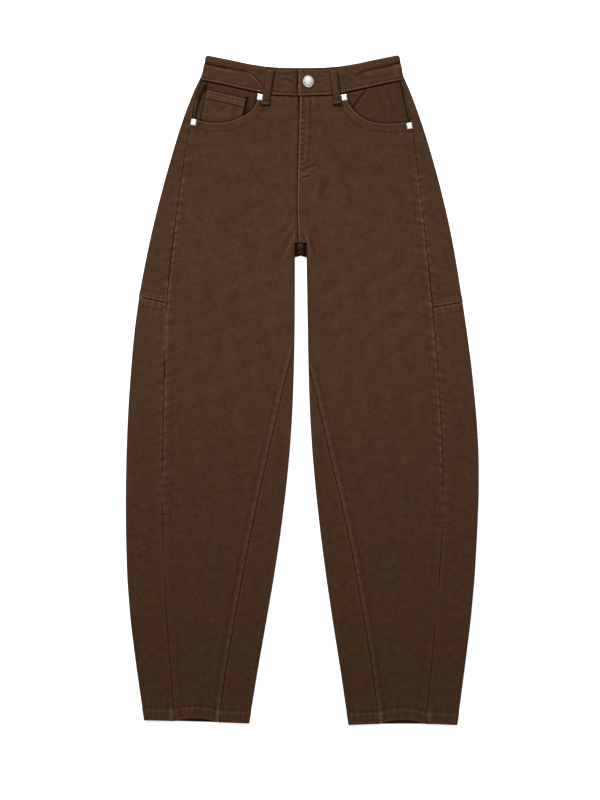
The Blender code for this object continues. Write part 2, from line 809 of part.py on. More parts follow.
def make_rivet(place, material):
    """A small square plate at the end of a pocket mouth."""
    leg = RIGHT if place.x < 0 else LEFT
    reach = math.hypot(RIVET_WIDTH, RIVET_HEIGHT) / 2
    under = [
        front_level(leg, place.x + reach * a, place.y + reach * b) for a in (-1, 0, 1) for b in (-1, 0, 1)
    ]
    name = f"rivet_{place.name}"
    mesh = bpy.data.meshes.new(name)
    shape = bmesh.new()
    bmesh.ops.create_cube(shape, size=MM)
    bmesh.ops.scale(shape, verts=shape.verts, vec=(RIVET_WIDTH, RIVET_HEIGHT, RIVET_DEPTH))
    top = [e for e in shape.edges if max(v.co.z for v in e.verts) > 0]
    bmesh.ops.bevel(shape, geom=top, offset=RIVET_BEVEL * MM, segments=2, profile=0.6, affect="EDGES")
    shape.to_mesh(mesh)
    shape.free()
    obj = add_object(name, mesh, material)
    obj.location = (place.x * MM, place.y * MM, (max(under) + SEAM_GAP + RIVET_DEPTH / 2) * MM)
    obj.rotation_euler.z = math.radians(place.turn)


def clear_scene():
    """Removes every object that the scene starts with."""
    for obj in list(bpy.data.objects):
        bpy.data.objects.remove(obj)


def main():
    """Builds every piece."""
    clear_scene()
    cloth, metal = make_material("cloth"), make_material("metal")
    for leg in (RIGHT, LEFT):
        make_front(leg, cloth)
        make_backs(leg, cloth)
        make_facing(leg, cloth)
    make_coin_pocket(RIGHT, cloth)
    make_waistband(cloth)
    for place in FRONT_LOOPS:
        make_front_loop(place, cloth)
    for name, middle in (("right", -BACK_LOOP_PLACE), ("centre", 0.0), ("left", BACK_LOOP_PLACE)):
        make_back_loop(name, middle, cloth)
    make_button(metal)
    for place in RIVETS:
        make_rivet(place, metal)


main()
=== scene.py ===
"""The looks of barrel leg trousers lying flat: cloth shells, seams, sewing, button and rivets.

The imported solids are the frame. Each cloth piece is a fine shell over its solid's own form, whose
outline is read from the frame, and the relief of seams, turnings, puckers and folds is added to its
outside. Garment sizes are in millimetres, and meshes and the studio are in metres. +Y runs from the
hems to the waistband, +X towards the wearer's left leg, and left and right are the wearer's.
"""

import logging
import math
from dataclasses import dataclass, field
from enum import Enum
from typing import Callable, NamedTuple, Optional, Sequence

import bmesh
import bpy
import numpy as np
from mathutils import Matrix, Vector
from mathutils.bvhtree import BVHTree
from mathutils.kdtree import KDTree


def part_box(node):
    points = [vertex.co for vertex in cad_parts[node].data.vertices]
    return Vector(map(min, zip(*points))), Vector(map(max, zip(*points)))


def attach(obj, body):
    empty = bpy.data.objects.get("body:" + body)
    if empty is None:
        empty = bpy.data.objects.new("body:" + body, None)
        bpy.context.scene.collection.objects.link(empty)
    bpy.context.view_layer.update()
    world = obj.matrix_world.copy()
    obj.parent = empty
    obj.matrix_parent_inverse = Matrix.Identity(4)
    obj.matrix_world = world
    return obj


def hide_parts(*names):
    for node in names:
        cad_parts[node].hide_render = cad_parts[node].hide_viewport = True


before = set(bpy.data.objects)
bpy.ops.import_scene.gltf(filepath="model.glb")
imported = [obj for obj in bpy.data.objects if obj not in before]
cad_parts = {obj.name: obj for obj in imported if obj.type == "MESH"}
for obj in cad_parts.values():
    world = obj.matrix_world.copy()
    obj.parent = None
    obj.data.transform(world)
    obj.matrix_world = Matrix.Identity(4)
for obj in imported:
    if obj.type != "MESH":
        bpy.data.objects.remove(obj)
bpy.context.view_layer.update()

LOG = logging.getLogger("trousers")
Array = np.ndarray
MM = 0.001
BODY = "root"

# Cloth and the heights that its layers lie at, as in the solids
WALL = 1.2
SEAM_GAP = 0.3
FOLD_HEIGHT = 6.0
HIP_LEVEL = 5.6
LEG_LEVEL = 3.8
FOLD_EASE = 38.0
HIP_ENDS, LEG_BEGINS = 240.0, 80.0
LOOP_LIFT = 1.4
LIFT_BEGINS, LIFT_ENDS = 330.0, 432.0
RADIUS = FOLD_HEIGHT / 2
QUARTER = RADIUS * math.pi / 2

# Crotch, fly and centre seams
CROTCH_BEGINS, CROTCH_ENDS = 228.0, 225.0
LEGS_PART = 215.0
CENTRE_ENDS = 446.0
BACK_CROTCH_BEGINS, BACK_CROTCH_ENDS = 206.5, 203.5
CENTRE_BACK = -2.2
CENTRE_BACK_STRIP = 12.0
FLY_BOTTOM = 326.0
FLY_UNDERLAP = 9.0
FLY_STEP = 0.9
FLY_EASE = 22.0
FLY_WIDTH = 15.5

# Hem, waistband and pockets
HEM_LINE = -510.0
HEM_TOP = -492.0
HEM_SLANT_BEGINS = -430.0
HEM_CUT = -484.0
HEM_DEPTH = 21.0
MOUTH_ROW = 395.0
BAND_ROW = 451.3
BAND_TOP_LEVEL = 7.2
BAND_DIP = 1.2
BAND_RISE = 0.9
BAND_LAP_EASE = 26.0
BAND_OVERLAP_END = -4.8
BAND_UNDERLAP_END = 24.0
BAND_WALL = 1.8
FACING_WALL = 1.0
FACING_LEVEL = 2.85
FACING_SEAM_LEVEL = 3.3
FACING_EASE = 10.0
FACING_INNER = 52.0
COIN_WALL = 1.0
LOOP_WIDTH = 10.6
LOOP_WALL = 1.2
LOOP_ARCH = 0.9

# Painted light and shade by height: how much lighter or darker the cloth is painted, lighter at the knees and darker
# towards the hems and the waist
LIGHT_FALL_HEIGHTS = (-520, -490, -470, -380, -320, -180, 30, 160, 277, 360, 520)
LIGHT_FALL_TONES = (-0.05, -0.05, -0.1, -0.09, -0.05, -0.015, 0.03, 0.02, -0.02, -0.085, -0.13)

# How fine the shells are
THIN = 3
ROW_STEP = 1.55
FINE_STEP = 1.0


def ease(start: float, end: float, at: Array) -> Array:
    """Gives a smooth step.

    Args:
        start: Where the step is 0.
        end: Where the step is 1.
        at: The places to read it at.

    Returns:
        The values, from 0 to 1.
    """
    share = np.clip((np.asarray(at, float) - start) / (end - start), 0, 1)
    return share * share * (3 - 2 * share)


def mix(a: Array, b: Array, share: Array) -> Array:
    """Gives the value that lies a share of the way from a to b."""
    return a + (b - a) * share


def smooth_curve(points: Sequence, step: float = 1.0) -> Array:
    """Runs a smooth curve through points.

    Args:
        points: The points, of any dimension.
        step: The distance between the points of the result.

    Returns:
        Evenly spaced points along the curve.
    """
    points = np.asarray(points, float)
    at = np.concatenate(([0.0], np.cumsum(np.linalg.norm(np.diff(points, axis=0), axis=1))))
    slopes = np.gradient(points, at, axis=0)
    places = np.linspace(0, at[-1], max(2, int(at[-1] / step) + 1))
    i = np.clip(np.searchsorted(at, places, side="right") - 1, 0, len(at) - 2)
    width = (at[i + 1] - at[i])[:, None]
    s = (places - at[i])[:, None] / width
    bend = width * (slopes[i] * s * (1 - s) ** 2 - slopes[i + 1] * s * s * (1 - s))
    return points[i] * (1 + 2 * s) * (1 - s) ** 2 + points[i + 1] * s * s * (3 - 2 * s) + bend


def smoothed(values: Array, reach: float) -> Array:
    """Evens out samples without moving their ends.

    Args:
        values: Evenly spaced samples.
        reach: The blur's standard deviation, in samples.

    Returns:
        The smoothed samples.
    """
    half = int(reach * 3) + 1
    kernel = np.exp(-0.5 * (np.arange(-half, half + 1) / reach) ** 2)
    before = 2 * values[0] - values[half:0:-1]
    after = 2 * values[-1] - values[-2 : -half - 2 : -1]
    return np.convolve(np.concatenate((before, values, after)), kernel / kernel.sum(), "valid")


def extended(values: Array, base: int = 8) -> Array:
    """Fills the samples that are missing at both ends with straight lines.

    Args:
        values: Samples, with nan where there is none.
        base: How many samples the end slopes are taken over.

    Returns:
        The samples without gaps.
    """
    index = np.arange(len(values))
    known = index[~np.isnan(values)]
    filled = np.interp(index, known, values[known])
    first, last = known[0], known[-1]
    low = (filled[first + base] - filled[first]) / base
    high = (filled[last] - filled[last - base]) / base
    filled[:first] = filled[first] + low * (index[:first] - first)
    filled[last + 1 :] = filled[last] + high * (index[last + 1 :] - last)
    return filled


def blurred(grid: Array, passes: int) -> Array:
    """Blurs a grid of values along both of its directions.

    Args:
        grid: The values.
        passes: How often each value is mixed with its neighbours.

    Returns:
        The blurred values.
    """
    for _ in range(passes):
        for axis in (0, 1):
            padded = np.pad(grid, [(1, 1) if a == axis else (0, 0) for a in (0, 1)], "edge")
            low, high = (np.take(padded, range(i, i + grid.shape[axis]), axis) for i in (0, 2))
            grid = grid / 2 + (low + high) / 4
    return grid


class SolidOutline:
    """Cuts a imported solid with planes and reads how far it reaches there."""

    def __init__(self, node: str) -> None:
        """Reads the node's edges from the frame."""
        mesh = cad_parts[node].data
        points = np.empty(len(mesh.vertices) * 3, np.float32)
        mesh.vertices.foreach_get("co", points)
        points = points.reshape(-1, 3).astype(float) / MM
        pairs = np.empty(len(mesh.edges) * 2, np.int32)
        mesh.edges.foreach_get("vertices", pairs)
        self.start, self.end = points[pairs[::2]], points[pairs[1::2]]

    def reach(self, axis: int, places: Array, above: float = -1.0, below: float = 99.0) -> tuple:
        """Reads the solid's lowest and highest place across a row of planes.

        Args:
            axis: The axis that the planes are square to, 0 for X or 1 for Y.
            places: Where the planes stand on it.
            above: Only points higher than this count.
            below: Only points lower than this count.

        Returns:
            The lowest and the highest place on the other axis, nan where the plane misses.
        """
        low, high = np.full(len(places), np.nan), np.full(len(places), np.nan)
        a, b = self.start[:, axis], self.end[:, axis]
        for i, at in enumerate(places):
            crossing = (a - at) * (b - at) < 0
            share = ((at - a[crossing]) / (b[crossing] - a[crossing]))[:, None]
            found = mix(self.start[crossing], self.end[crossing], share)
            found = found[(found[:, 2] > above) & (found[:, 2] < below)]
            if len(found):
                low[i], high[i] = found[:, 1 - axis].min(), found[:, 1 - axis].max()
        return low, high


class Line:
    """A line over the cloth, seen from above, that relief and sewing follow."""

    def __init__(self, points: Sequence, smooth: bool = True) -> None:
        """Keeps a line.

        Args:
            points: The points that it runs through.
            smooth: Whether it bends between them; if not, they are close together already.
        """
        self.points = smooth_curve(points, 0.8) if smooth else np.asarray(points, float)
        steps = np.linalg.norm(np.diff(self.points, axis=0), axis=1)
        self.along = np.concatenate(([0.0], np.cumsum(steps)))
        tangent = np.gradient(self.points, axis=0)
        self.tangent = tangent / np.linalg.norm(tangent, axis=1)[:, None]
        self._tree: Optional[KDTree] = None

    @property
    def length(self) -> float:
        """The line's length."""
        return float(self.along[-1])

    def offset(self, distance: float) -> "Line":
        """Gives the line beside this one, to the left of its direction if distance is above 0."""
        normal = np.stack((-self.tangent[:, 1], self.tangent[:, 0]), axis=1)
        return Line(self.points + normal * distance, smooth=False)

    def part(self, start: float, end: float) -> "Line":
        """Gives the stretch of the line between two places along it."""
        kept = (self.along >= start) & (self.along <= end)
        return Line(self.points[kept], smooth=False)

    def measure(self, x: Array, y: Array, reach: float) -> tuple:
        """Finds how far points lie from the line.

        Args:
            x: The points' X.
            y: The points' Y.
            reach: The distance past which a point doesn't matter.

        Returns:
            The distances (large where they don't matter), and the places along the line.
        """
        if self._tree is None:
            self._tree = KDTree(len(self.points))
            for i, (px, py) in enumerate(self.points):
                self._tree.insert((px, py, 0), i)
            self._tree.balance()
        low, high = self.points.min(0) - reach, self.points.max(0) + reach
        near = np.flatnonzero((x > low[0]) & (x < high[0]) & (y > low[1]) & (y < high[1]))
        distance, along = np.full(len(x), 1e6), np.zeros(len(x))
        for k in near:
            place, index, _ = self._tree.find((x[k], y[k], 0))
            dx, dy = x[k] - place[0], y[k] - place[1]
            tangent = self.tangent[index]
            on = dx * tangent[0] + dy * tangent[1]
            inside = 0 < index < len(self.points) - 1
            distance[k] = abs(dx * tangent[1] - dy * tangent[0]) if inside else math.hypot(dx, dy)
            along[k] = self.along[index] + on
        return distance, along


class Form(Enum):
    """How a piece of relief stands beside its line."""

    RIDGE = "rounded on both sides of the line"
    BAND = "level out to its width, then down again"
    EDGE = "a drop that grows towards the line"
    PUCKER = "ripples along the line that fade away from it"


@dataclass(frozen=True)
class Relief:
    """Relief along a line: how far the cloth's outside rises there, or sinks if it is below 0.

    Attributes:
        line: The line that it follows.
        form: How it stands beside the line.
        rise: Its height.
        width: Its width, or for puckers how far they reach.
        soft: How wide a band's slope is, or how long puckers are.
        taper: How long its two ends take to fade.
        lean: How far puckers slant along the line for each millimetre away from it.
        seed: What the puckers' spacing is drawn from.
        tint: How much lighter the cloth is painted there, or darker if it is below 0: painted highlight and painted
            shade along the relief, and dark seam lines.
        even: How regular puckers are, from 0 to 1.
    """

    line: Line
    form: Form
    rise: float
    width: float
    soft: float = 1.0
    taper: float = 0.0
    lean: float = 0.0
    seed: int = 0
    tint: float = 0.0
    even: float = 0.0

    def shares(self, x: Array, y: Array) -> Array:
        """Gives how far the relief acts at points.

        Args:
            x: The points' X.
            y: The points' Y.

        Returns:
            The shares, 1 where it acts in full and from -1 to 1 for puckers.
        """
        reach = self.width + self.soft if self.form is Form.BAND else self.width * 3.2
        distance, along = self.line.measure(x, y, reach)
        if self.form is Form.RIDGE:
            shape = np.exp(-((distance / self.width) ** 2))
        elif self.form is Form.BAND:
            shape = 1 - ease(self.width - self.soft, self.width + self.soft, distance)
        elif self.form is Form.EDGE:
            shape = np.clip(1 - distance / self.width, 0, 1) ** 2
        else:
            shape = np.exp(-distance / self.width) * self._ripple(along + self.lean * distance)
        if self.taper:
            shape = shape * ease(0, self.taper, along) * ease(0, self.taper, self.line.length - along)
        return np.where(distance < reach, shape, 0)

    def _ripple(self, along: Array) -> Array:
        """Gives uneven ripples, from -1 to 1, whose mean length is soft."""
        draw = np.random.default_rng(self.seed)
        count = int(self.line.length / self.soft * 2) + 12
        steps = draw.uniform(0.3 + 0.17 * self.even, 0.8 - 0.2 * self.even, count)
        knots = np.cumsum(steps * self.soft) - 3 * self.soft
        swings = draw.uniform(0.15 + 0.4 * self.even, 1.0, count) * np.where(np.arange(count) % 2, 1, -1)
        i = np.clip(np.searchsorted(knots, along) - 1, 0, count - 2)
        share = ease(0, 1, (along - knots[i]) / (knots[i + 1] - knots[i]))
        return mix(swings[i], swings[i + 1], share)


def ridge(line: Line, rise: float, width: float, tint: float = 0.0, taper: float = 0.0) -> Relief:
    """Gives a rounded ridge, or a trough if rise is below 0."""
    return Relief(line, Form.RIDGE, rise, width, tint=tint, taper=taper)


def band(line: Line, rise: float, width: float, tint: float = 0.0, soft: float = 0.9) -> Relief:
    """Gives a level band on both sides of a line."""
    return Relief(line, Form.BAND, rise, width, soft=soft, tint=tint)


def edge(line: Line, rise: float, width: float, tint: float = 0.0) -> Relief:
    """Gives a drop that grows towards the line."""
    return Relief(line, Form.EDGE, rise, width, tint=tint)


def sunk(line: Line, drop: float, width: float, tint: float) -> tuple:
    """Gives a long seam's drop, which is shallow and pale where the hem takes it up."""
    hem = line.length - HEM_DEPTH
    return edge(line.part(0, hem), -drop, width, tint), edge(line.part(hem, line.length), -drop / 2, 1.0)


def pucker(line: Line, rise: float, width: float, length: float, seed: int, **more: float) -> Relief:
    """Gives ripples along a line."""
    return Relief(line, Form.PUCKER, rise, width, soft=length, seed=seed, **more)


def drift(x: Array, y: Array, length: float, seed: int) -> Array:
    """Gives slow swells over the cloth.

    Args:
        x: The points' X.
        y: The points' Y.
        length: About how far apart the swells lie.
        seed: What they are drawn from.

    Returns:
        Heights from about -1 to 1.
    """
    draw = np.random.default_rng(seed)
    waves = 7
    total = np.zeros(np.shape(x))
    for _ in range(waves):
        turn, phase = draw.uniform(0, math.tau, 2)
        pace = math.tau / (length * draw.uniform(0.7, 1.8))
        total += np.sin((x * math.cos(turn) + y * math.sin(turn)) * pace + phase)
    return total / math.sqrt(waves)


class Row(NamedTuple):
    """A section of a panel, as points from one edge to the other.

    Attributes:
        u: How far out from the centre line.
        z: Height above the surface.
        in_u: How the wall's inward direction lies across.
        in_z: How it lies in height.
    """

    u: Array
    z: Array
    in_u: Array
    in_z: Array

    def toward(self, other: "Row", share: float) -> "Row":
        """Gives the section that lies a share of the way to another one."""
        u, z, in_u, in_z = (mix(a, b, share) for a, b in zip(self, other))
        size = np.hypot(in_u, in_z)
        return Row(u, z, in_u / size, in_z / size)


class Grid(NamedTuple):
    """The outside of a cloth piece, as rows of points.

    Attributes:
        place: The points, as (rows, columns, 3).
        inward: The directions into the wall.
    """

    place: Array
    inward: Array

    @classmethod
    def of_rows(cls, rows: Sequence[Row], heights: Array, sign: int) -> "Grid":
        """Stacks sections into a grid; sign is the side of the centre line that they lie on."""
        u, z, in_u, in_z = (np.array([row[i] for row in rows]) for i in range(4))
        place = np.stack((sign * u, heights, z), axis=2)
        return cls(place, np.stack((sign * in_u, np.zeros(u.shape), in_z), axis=2))

    @classmethod
    def level(cls, x: Array, y: Array, z: Array) -> "Grid":
        """Makes a grid whose wall lies straight below it."""
        inward = np.zeros((*x.shape, 3))
        inward[:, :, 2] = -1
        return cls(np.stack((x, y, z), axis=2), inward)

    def cloth_places(self) -> Array:
        """Gives each point's place on the flat cloth, in millimetres: across, along and 0."""
        steps = np.linalg.norm(np.diff(self.place[:, :, ::2], axis=1), axis=2)
        across = np.concatenate((np.zeros((len(steps), 1)), np.cumsum(steps, axis=1)), axis=1)
        across -= across[:, across.shape[1] // 2][:, None]
        return np.stack((across, self.place[:, :, 1], np.zeros(across.shape)), axis=2)

    def area(self) -> float:
        """Gives the grid's area in square metres."""
        a = self.place[1:, 1:] - self.place[:-1, :-1]
        b = self.place[1:, :-1] - self.place[:-1, 1:]
        return float(np.linalg.norm(np.cross(a, b), axis=2).sum() / 2 * MM * MM)


class ClothPiece:
    """A fine closed shell over a grid, with relief on its outside."""

    def __init__(self, name: str, node: str, grid: Grid, wall: float) -> None:
        """Starts a piece.

        Args:
            name: The piece's name.
            node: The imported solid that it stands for.
            grid: Its outside, before relief.
            wall: The cloth's thickness.
        """
        self.name, self.node, self.grid, self.wall = name, node, grid, wall
        self.lift = np.zeros(grid.place.shape[:2])
        self.shade = np.zeros(grid.place.shape[:2])
        self.object: Optional[bpy.types.Object] = None
        self._surface: Optional[BVHTree] = None

    def add(self, *reliefs: Relief, under: bool = False) -> None:
        """Adds relief where the cloth faces up.

        Args:
            reliefs: The relief to add.
            under: Whether to add it where the cloth faces down instead.
        """
        x, y = self.grid.place[:, :, 0], self.grid.place[:, :, 1]
        facing = self.grid.inward[:, :, 2] > 0.5 if under else self.grid.inward[:, :, 2] < 0.2
        for relief in reliefs:
            shares = relief.shares(x[facing], y[facing])
            self.lift[facing] += relief.rise * shares
            self.shade[facing] += relief.tint * shares

    def swell(self, length: float, rise: float, seed: int) -> None:
        """Adds slow swells, less of them where the cloth folds over."""
        x, y = self.grid.place[:, :, 0], self.grid.place[:, :, 1]
        up = ease(0.5, 1.0, -self.grid.inward[:, :, 2])
        self.lift += rise * drift(x, y, length, seed) * up

    def build(self, finish: "Finish") -> bpy.types.Object:
        """Makes the shell's mesh and object.

        Args:
            finish: What it is dressed in.

        Returns:
            The object.
        """
        outside = self.grid.place - self.grid.inward * self.lift[:, :, None]
        inside = (self.grid.place + self.grid.inward * self.wall)[::THIN, ::THIN]
        cloth = self.grid.cloth_places()
        # Painted shading: painted highlight on the relief's ridges and painted shade in its grooves, the reliefs' own
        # painted highlight and shade, painted shade where the cloth turns down at the folds, and the painted light and
        # shade by height
        sideways_shade = ease(0.9, 0.3, np.abs(self.grid.inward[:, :, 2]))
        painted_shading = 0.7 * (self.lift - blurred(self.lift, 14)) + self.shade - 0.4 * sideways_shade
        painted_shading += np.interp(self.grid.place[:, :, 1], LIGHT_FALL_HEIGHTS, LIGHT_FALL_TONES)
        rows, columns = self.lift.shape
        thin_rows, thin_columns = inside.shape[:2]
        fine = np.arange(rows * columns).reshape(rows, columns)
        thin = rows * columns + np.arange(thin_rows * thin_columns).reshape(thin_rows, thin_columns)
        faces = self._quads(fine) + [face[::-1] for face in self._quads(thin)]
        for outer, inner in (
            (fine[0], thin[0]),
            (fine[:, -1], thin[:, -1]),
            (fine[-1, ::-1], thin[-1, ::-1]),
            (fine[::-1, 0], thin[::-1, 0]),
        ):
            for i in range(len(inner) - 1):
                rim = outer[i * THIN : (i + 1) * THIN + 1]
                faces.append([*rim[::-1].tolist(), int(inner[i]), int(inner[i + 1])])
        points = np.concatenate((outside.reshape(-1, 3), inside.reshape(-1, 3))) * MM
        mesh = bpy.data.meshes.new(self.name)
        mesh.from_pydata(points.tolist(), [], faces)
        self._attribute(mesh, "cloth_place", "FLOAT_VECTOR", "vector", cloth)
        self._attribute(mesh, "painted_shading", "FLOAT", "value", painted_shading)
        shape = bmesh.new()
        shape.from_mesh(mesh)
        bmesh.ops.recalc_face_normals(shape, faces=shape.faces)
        shape.to_mesh(mesh)
        shape.free()
        mesh.shade_smooth()
        mesh.set_sharp_from_angle(angle=math.radians(50))
        self.object = bpy.data.objects.new(self.name, mesh)
        bpy.context.scene.collection.objects.link(self.object)
        self._surface = BVHTree.FromPolygons(
            (outside.reshape(-1, 3)).tolist(), self._quads(fine), all_triangles=False
        )
        finish.dress(self.object)
        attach(self.object, BODY)
        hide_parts(self.node)
        LOG.info("%s: %d faces", self.name, len(mesh.polygons))
        return self.object

    @staticmethod
    def _quads(index: Array) -> list:
        """Gives the four-cornered faces of a grid of vertex numbers."""
        corners = (index[:-1, :-1], index[:-1, 1:], index[1:, 1:], index[1:, :-1])
        return np.stack(corners, axis=2).reshape(-1, 4).tolist()

    @staticmethod
    def _attribute(mesh: bpy.types.Mesh, name: str, kind: str, key: str, grid: Array) -> None:
        """Stores a grid's values on the mesh's points, the outside's and then the inside's."""
        depth = grid.shape[2] if grid.ndim == 3 else 1
        values = np.concatenate(
            (grid.reshape(-1, depth), grid[::THIN, ::THIN].reshape(-1, depth))
        ).astype(np.float32)
        mesh.attributes.new(name, kind, "POINT").data.foreach_set(key, values.ravel())

    def lay(self, rests_on: Sequence[str], with_pieces: Sequence = ()) -> None:
        cloth = self.grid.cloth_places()
        spread = [float(np.ptp(cloth[:, :, i])) * MM for i in (0, 1)]
        area = max(0.31 * spread[0] * spread[1], min(self.grid.area(), spread[0] * spread[1]))

    def touch(self, x: float, y: float) -> tuple:
        """Finds the cloth's outside straight below a point.

        Args:
            x: The point's X.
            y: The point's Y.

        Returns:
            The place and the normal there, or None twice where there is no cloth.
        """
        place, normal, _, _ = self._surface.ray_cast(Vector((x, y, 60)), Vector((0, 0, -1)))
        if place is None:
            return None, None
        return place, normal if normal.z > 0 else -normal


@dataclass(frozen=True)
class Outlines:
    """The waistband's edges, as heights across the garment."""

    across: Array
    band_seam: Array
    band_front: Array
    band_back: Array

    @classmethod
    def read(cls) -> "Outlines":
        """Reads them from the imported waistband."""
        band = SolidOutline("waistband")
        across = np.arange(-166.0, 166.5, 1.0)
        seam, front = band.reach(0, across, above=4.6)
        _, back = band.reach(0, across, below=3.4)
        lines = [smoothed(extended(values), 2.5) for values in (seam, front, back)]
        return cls(across, *lines)

    def seam(self, x: Array) -> Array:
        """The waistband seam's height at x, in the middle of its gap."""
        return np.interp(x, self.across, self.band_seam) - SEAM_GAP / 2


class LegForm:
    """One side of the garment: the outline of its panels, read from the frame."""

    def __init__(self, name: str, sign: int, mouth_start: float, cross_slope: float, outlines: Outlines) -> None:
        """Reads one side.

        Args:
            name: right or left.
            sign: -1 or 1, the way that it lies from the centre line.
            mouth_start: How far out the pocket mouth meets the waistband.
            cross_slope: How steeply the cross seam falls towards the side seam.
            outlines: The waistband's edges.
        """
        self.name, self.sign, self.cross_slope, self.outlines = name, sign, cross_slope, outlines
        front, facing = SolidOutline(f"front_{name}"), SolidOutline(f"pocket_facing_{name}")
        upper, lower = SolidOutline(f"back_upper_{name}"), SolidOutline(f"back_lower_{name}")
        self.heights = np.arange(-520.0, 484.0, 2.0)
        front_in, front_out = self._across(front, self.heights)
        _, facing_out = self._across(facing, self.heights)
        lower_in, lower_out = self._across(lower, self.heights)
        _, upper_out = self._across(upper, self.heights)
        for edge in (front_in, front_out, lower_in, lower_out):
            edge[self.heights < HEM_CUT] = np.nan
        outer = np.fmax(lower_out, upper_out)
        seam = np.fmax(np.where(self.heights > 408, np.nan, front_out), facing_out)
        inner = np.fmin(front_in, np.where(self.heights > BACK_CROTCH_ENDS - 4, np.nan, lower_in))
        inner[self.heights > LEGS_PART] = np.nan
        self._outer = smoothed(extended(outer), 6)
        self._side_seam = smoothed(extended(seam), 6) + SEAM_GAP / 2
        inner = extended(inner)
        inner[self.heights > LEGS_PART] = inner[self.heights <= LEGS_PART][-1]
        self._inner = smoothed(inner, 6)
        inward = np.where(self.heights > 90, 0, front_in - self._inner - SEAM_GAP / 2)
        self._inward = np.clip(smoothed(extended(inward), 2), 0, None)
        low, _ = front.reach(1, self.heights) if sign > 0 else SolidOutline("front_left").reach(1, self.heights)
        known = (self.heights > CROTCH_BEGINS + 2) & (self.heights < CENTRE_ENDS)
        self._centre = sign * (smoothed(extended(np.where(known, low, np.nan)), 3) - SEAM_GAP / 2)
        self.cross_seam = float(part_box(f"back_lower_{name}")[1].y) / MM + SEAM_GAP / 2
        self._hem(front, lower)
        self.mouth = self._mouth(front, mouth_start)

    def _across(self, solid: SolidOutline, heights: Array) -> tuple:
        """Reads how far in and out a solid lies on this side, at each height."""
        low, high = solid.reach(1, heights)
        return (low, high) if self.sign > 0 else (-high, -low)

    def _hem(self, front: SolidOutline, lower: SolidOutline) -> None:
        """Reads the lower edges of the front and of the back."""
        self._places = np.arange(60.0, 262.0, 2.0)
        low_back, _ = lower.reach(0, self._places * self.sign)
        low_front, _ = front.reach(0, self._places * self.sign)
        inside = (self._places > self.inner(HEM_LINE) + 5) & (self._places < self.outer(HEM_LINE) - 5)
        low_back[~inside] = np.nan
        self._hem_back = smoothed(extended(low_back, 4), 3)
        seam = self.side_seam(HEM_LINE)
        inseam = self.inner(HEM_LINE) + self.inward(HEM_LINE)
        low_front[(self._places > seam - 2) | (self._places < inseam + 2)] = np.nan
        joined = np.where(np.isnan(low_front), self._hem_back, low_front)
        self._hem_front = smoothed(joined, 2)

    def _mouth(self, front: SolidOutline, start: float) -> Line:
        """Reads the pocket mouth, from the waistband to the side seam."""
        out = np.arange(start + 0.1, self.side_seam(412.0) - 0.4, 0.25)
        _, high = front.reach(0, out * self.sign)
        points = np.stack((out, high), axis=1)[~np.isnan(high)]
        top = (start, float(self.outlines.seam(self.sign * start)) - SEAM_GAP / 2)
        end = float(points[-1, 1])
        points = np.vstack((top, points, (float(self.side_seam(end)) - SEAM_GAP / 2, end)))
        along = np.concatenate(([0.0], np.cumsum(np.linalg.norm(np.diff(points, axis=0), axis=1))))
        even = np.linspace(0, along[-1], int(along[-1] / 0.8))
        u = smoothed(np.interp(even, along, points[:, 0]), 5)
        y = smoothed(np.interp(even, along, points[:, 1]), 5)
        return Line(np.stack((self.sign * u, y), axis=1), smooth=False)

    def outer(self, y: Array) -> Array:
        """How far out the outer fold lies."""
        return np.interp(y, self.heights, self._outer)

    def side_seam(self, y: Array) -> Array:
        """How far out the side seam lies."""
        return np.interp(y, self.heights, self._side_seam)

    def inner(self, y: Array) -> Array:
        """How far out the inner fold lies."""
        return np.interp(y, self.heights, self._inner)

    def inward(self, y: Array) -> Array:
        """How far the inseam lies from the inner fold."""
        return np.interp(y, self.heights, self._inward)

    def centre(self, y: Array) -> Array:
        """How far out on this side the centre front seam lies."""
        return np.interp(y, self.heights, self._centre)

    def inseam_arc(self, y: float) -> float:
        """How far round the inner fold the inseam lies, from the very edge."""
        inward = float(self.inward(y))
        if inward < RADIUS:
            return RADIUS * math.acos(1 - inward / RADIUS)
        return QUARTER + inward - RADIUS

    def lift(self, y: Array) -> Array:
        """How far the layers rise towards the waist."""
        return LOOP_LIFT * ease(LIFT_BEGINS, LIFT_ENDS, y)

    def level(self, u: Array, y: float) -> Array:
        """The height of the front's outside: full at the folds, lower between them."""
        rest = mix(LEG_LEVEL, HIP_LEVEL, ease(LEG_BEGINS, HIP_ENDS, y))
        near = 1 - ease(RADIUS, RADIUS + FOLD_EASE, self.outer(y) - u)
        inside = 1 - ease(RADIUS, RADIUS + FOLD_EASE, u - self.inner(y))
        near = np.maximum(near, inside * ease(CROTCH_BEGINS, CROTCH_ENDS, y))
        return self.lift(y) + mix(rest, FOLD_HEIGHT, near) + self._fly_step(u, y)

    def _fly_step(self, u: Array, y: Array) -> Array:
        """How the left front rises over the right one at the fly."""
        near = 1 - ease(0, FLY_EASE, u - self.centre(y))
        return self.sign * FLY_STEP * near * ease(FLY_BOTTOM - 46, FLY_BOTTOM - 16, y)

    def height(self, row: Array, u: Array, front: bool) -> Array:
        """Bends a section to follow the waistband and the hem.

        Args:
            row: The section's own height.
            u: How far out its points lie.
            front: Whether it is on the front panel.

        Returns:
            The points' heights along the garment.
        """
        band = ease(MOUTH_ROW, BAND_ROW, row) * (self.outlines.seam(self.sign * u) - BAND_ROW)
        low = self._hem_front if front else self._hem_back
        hem = np.interp(u, self._places, low) - HEM_LINE
        return row + band + ease(HEM_SLANT_BEGINS, HEM_TOP, row) * hem

    def fold_height(self, row: float) -> float:
        """The height of a section at the outer fold."""
        return float(self.height(row, self.outer(row), False))

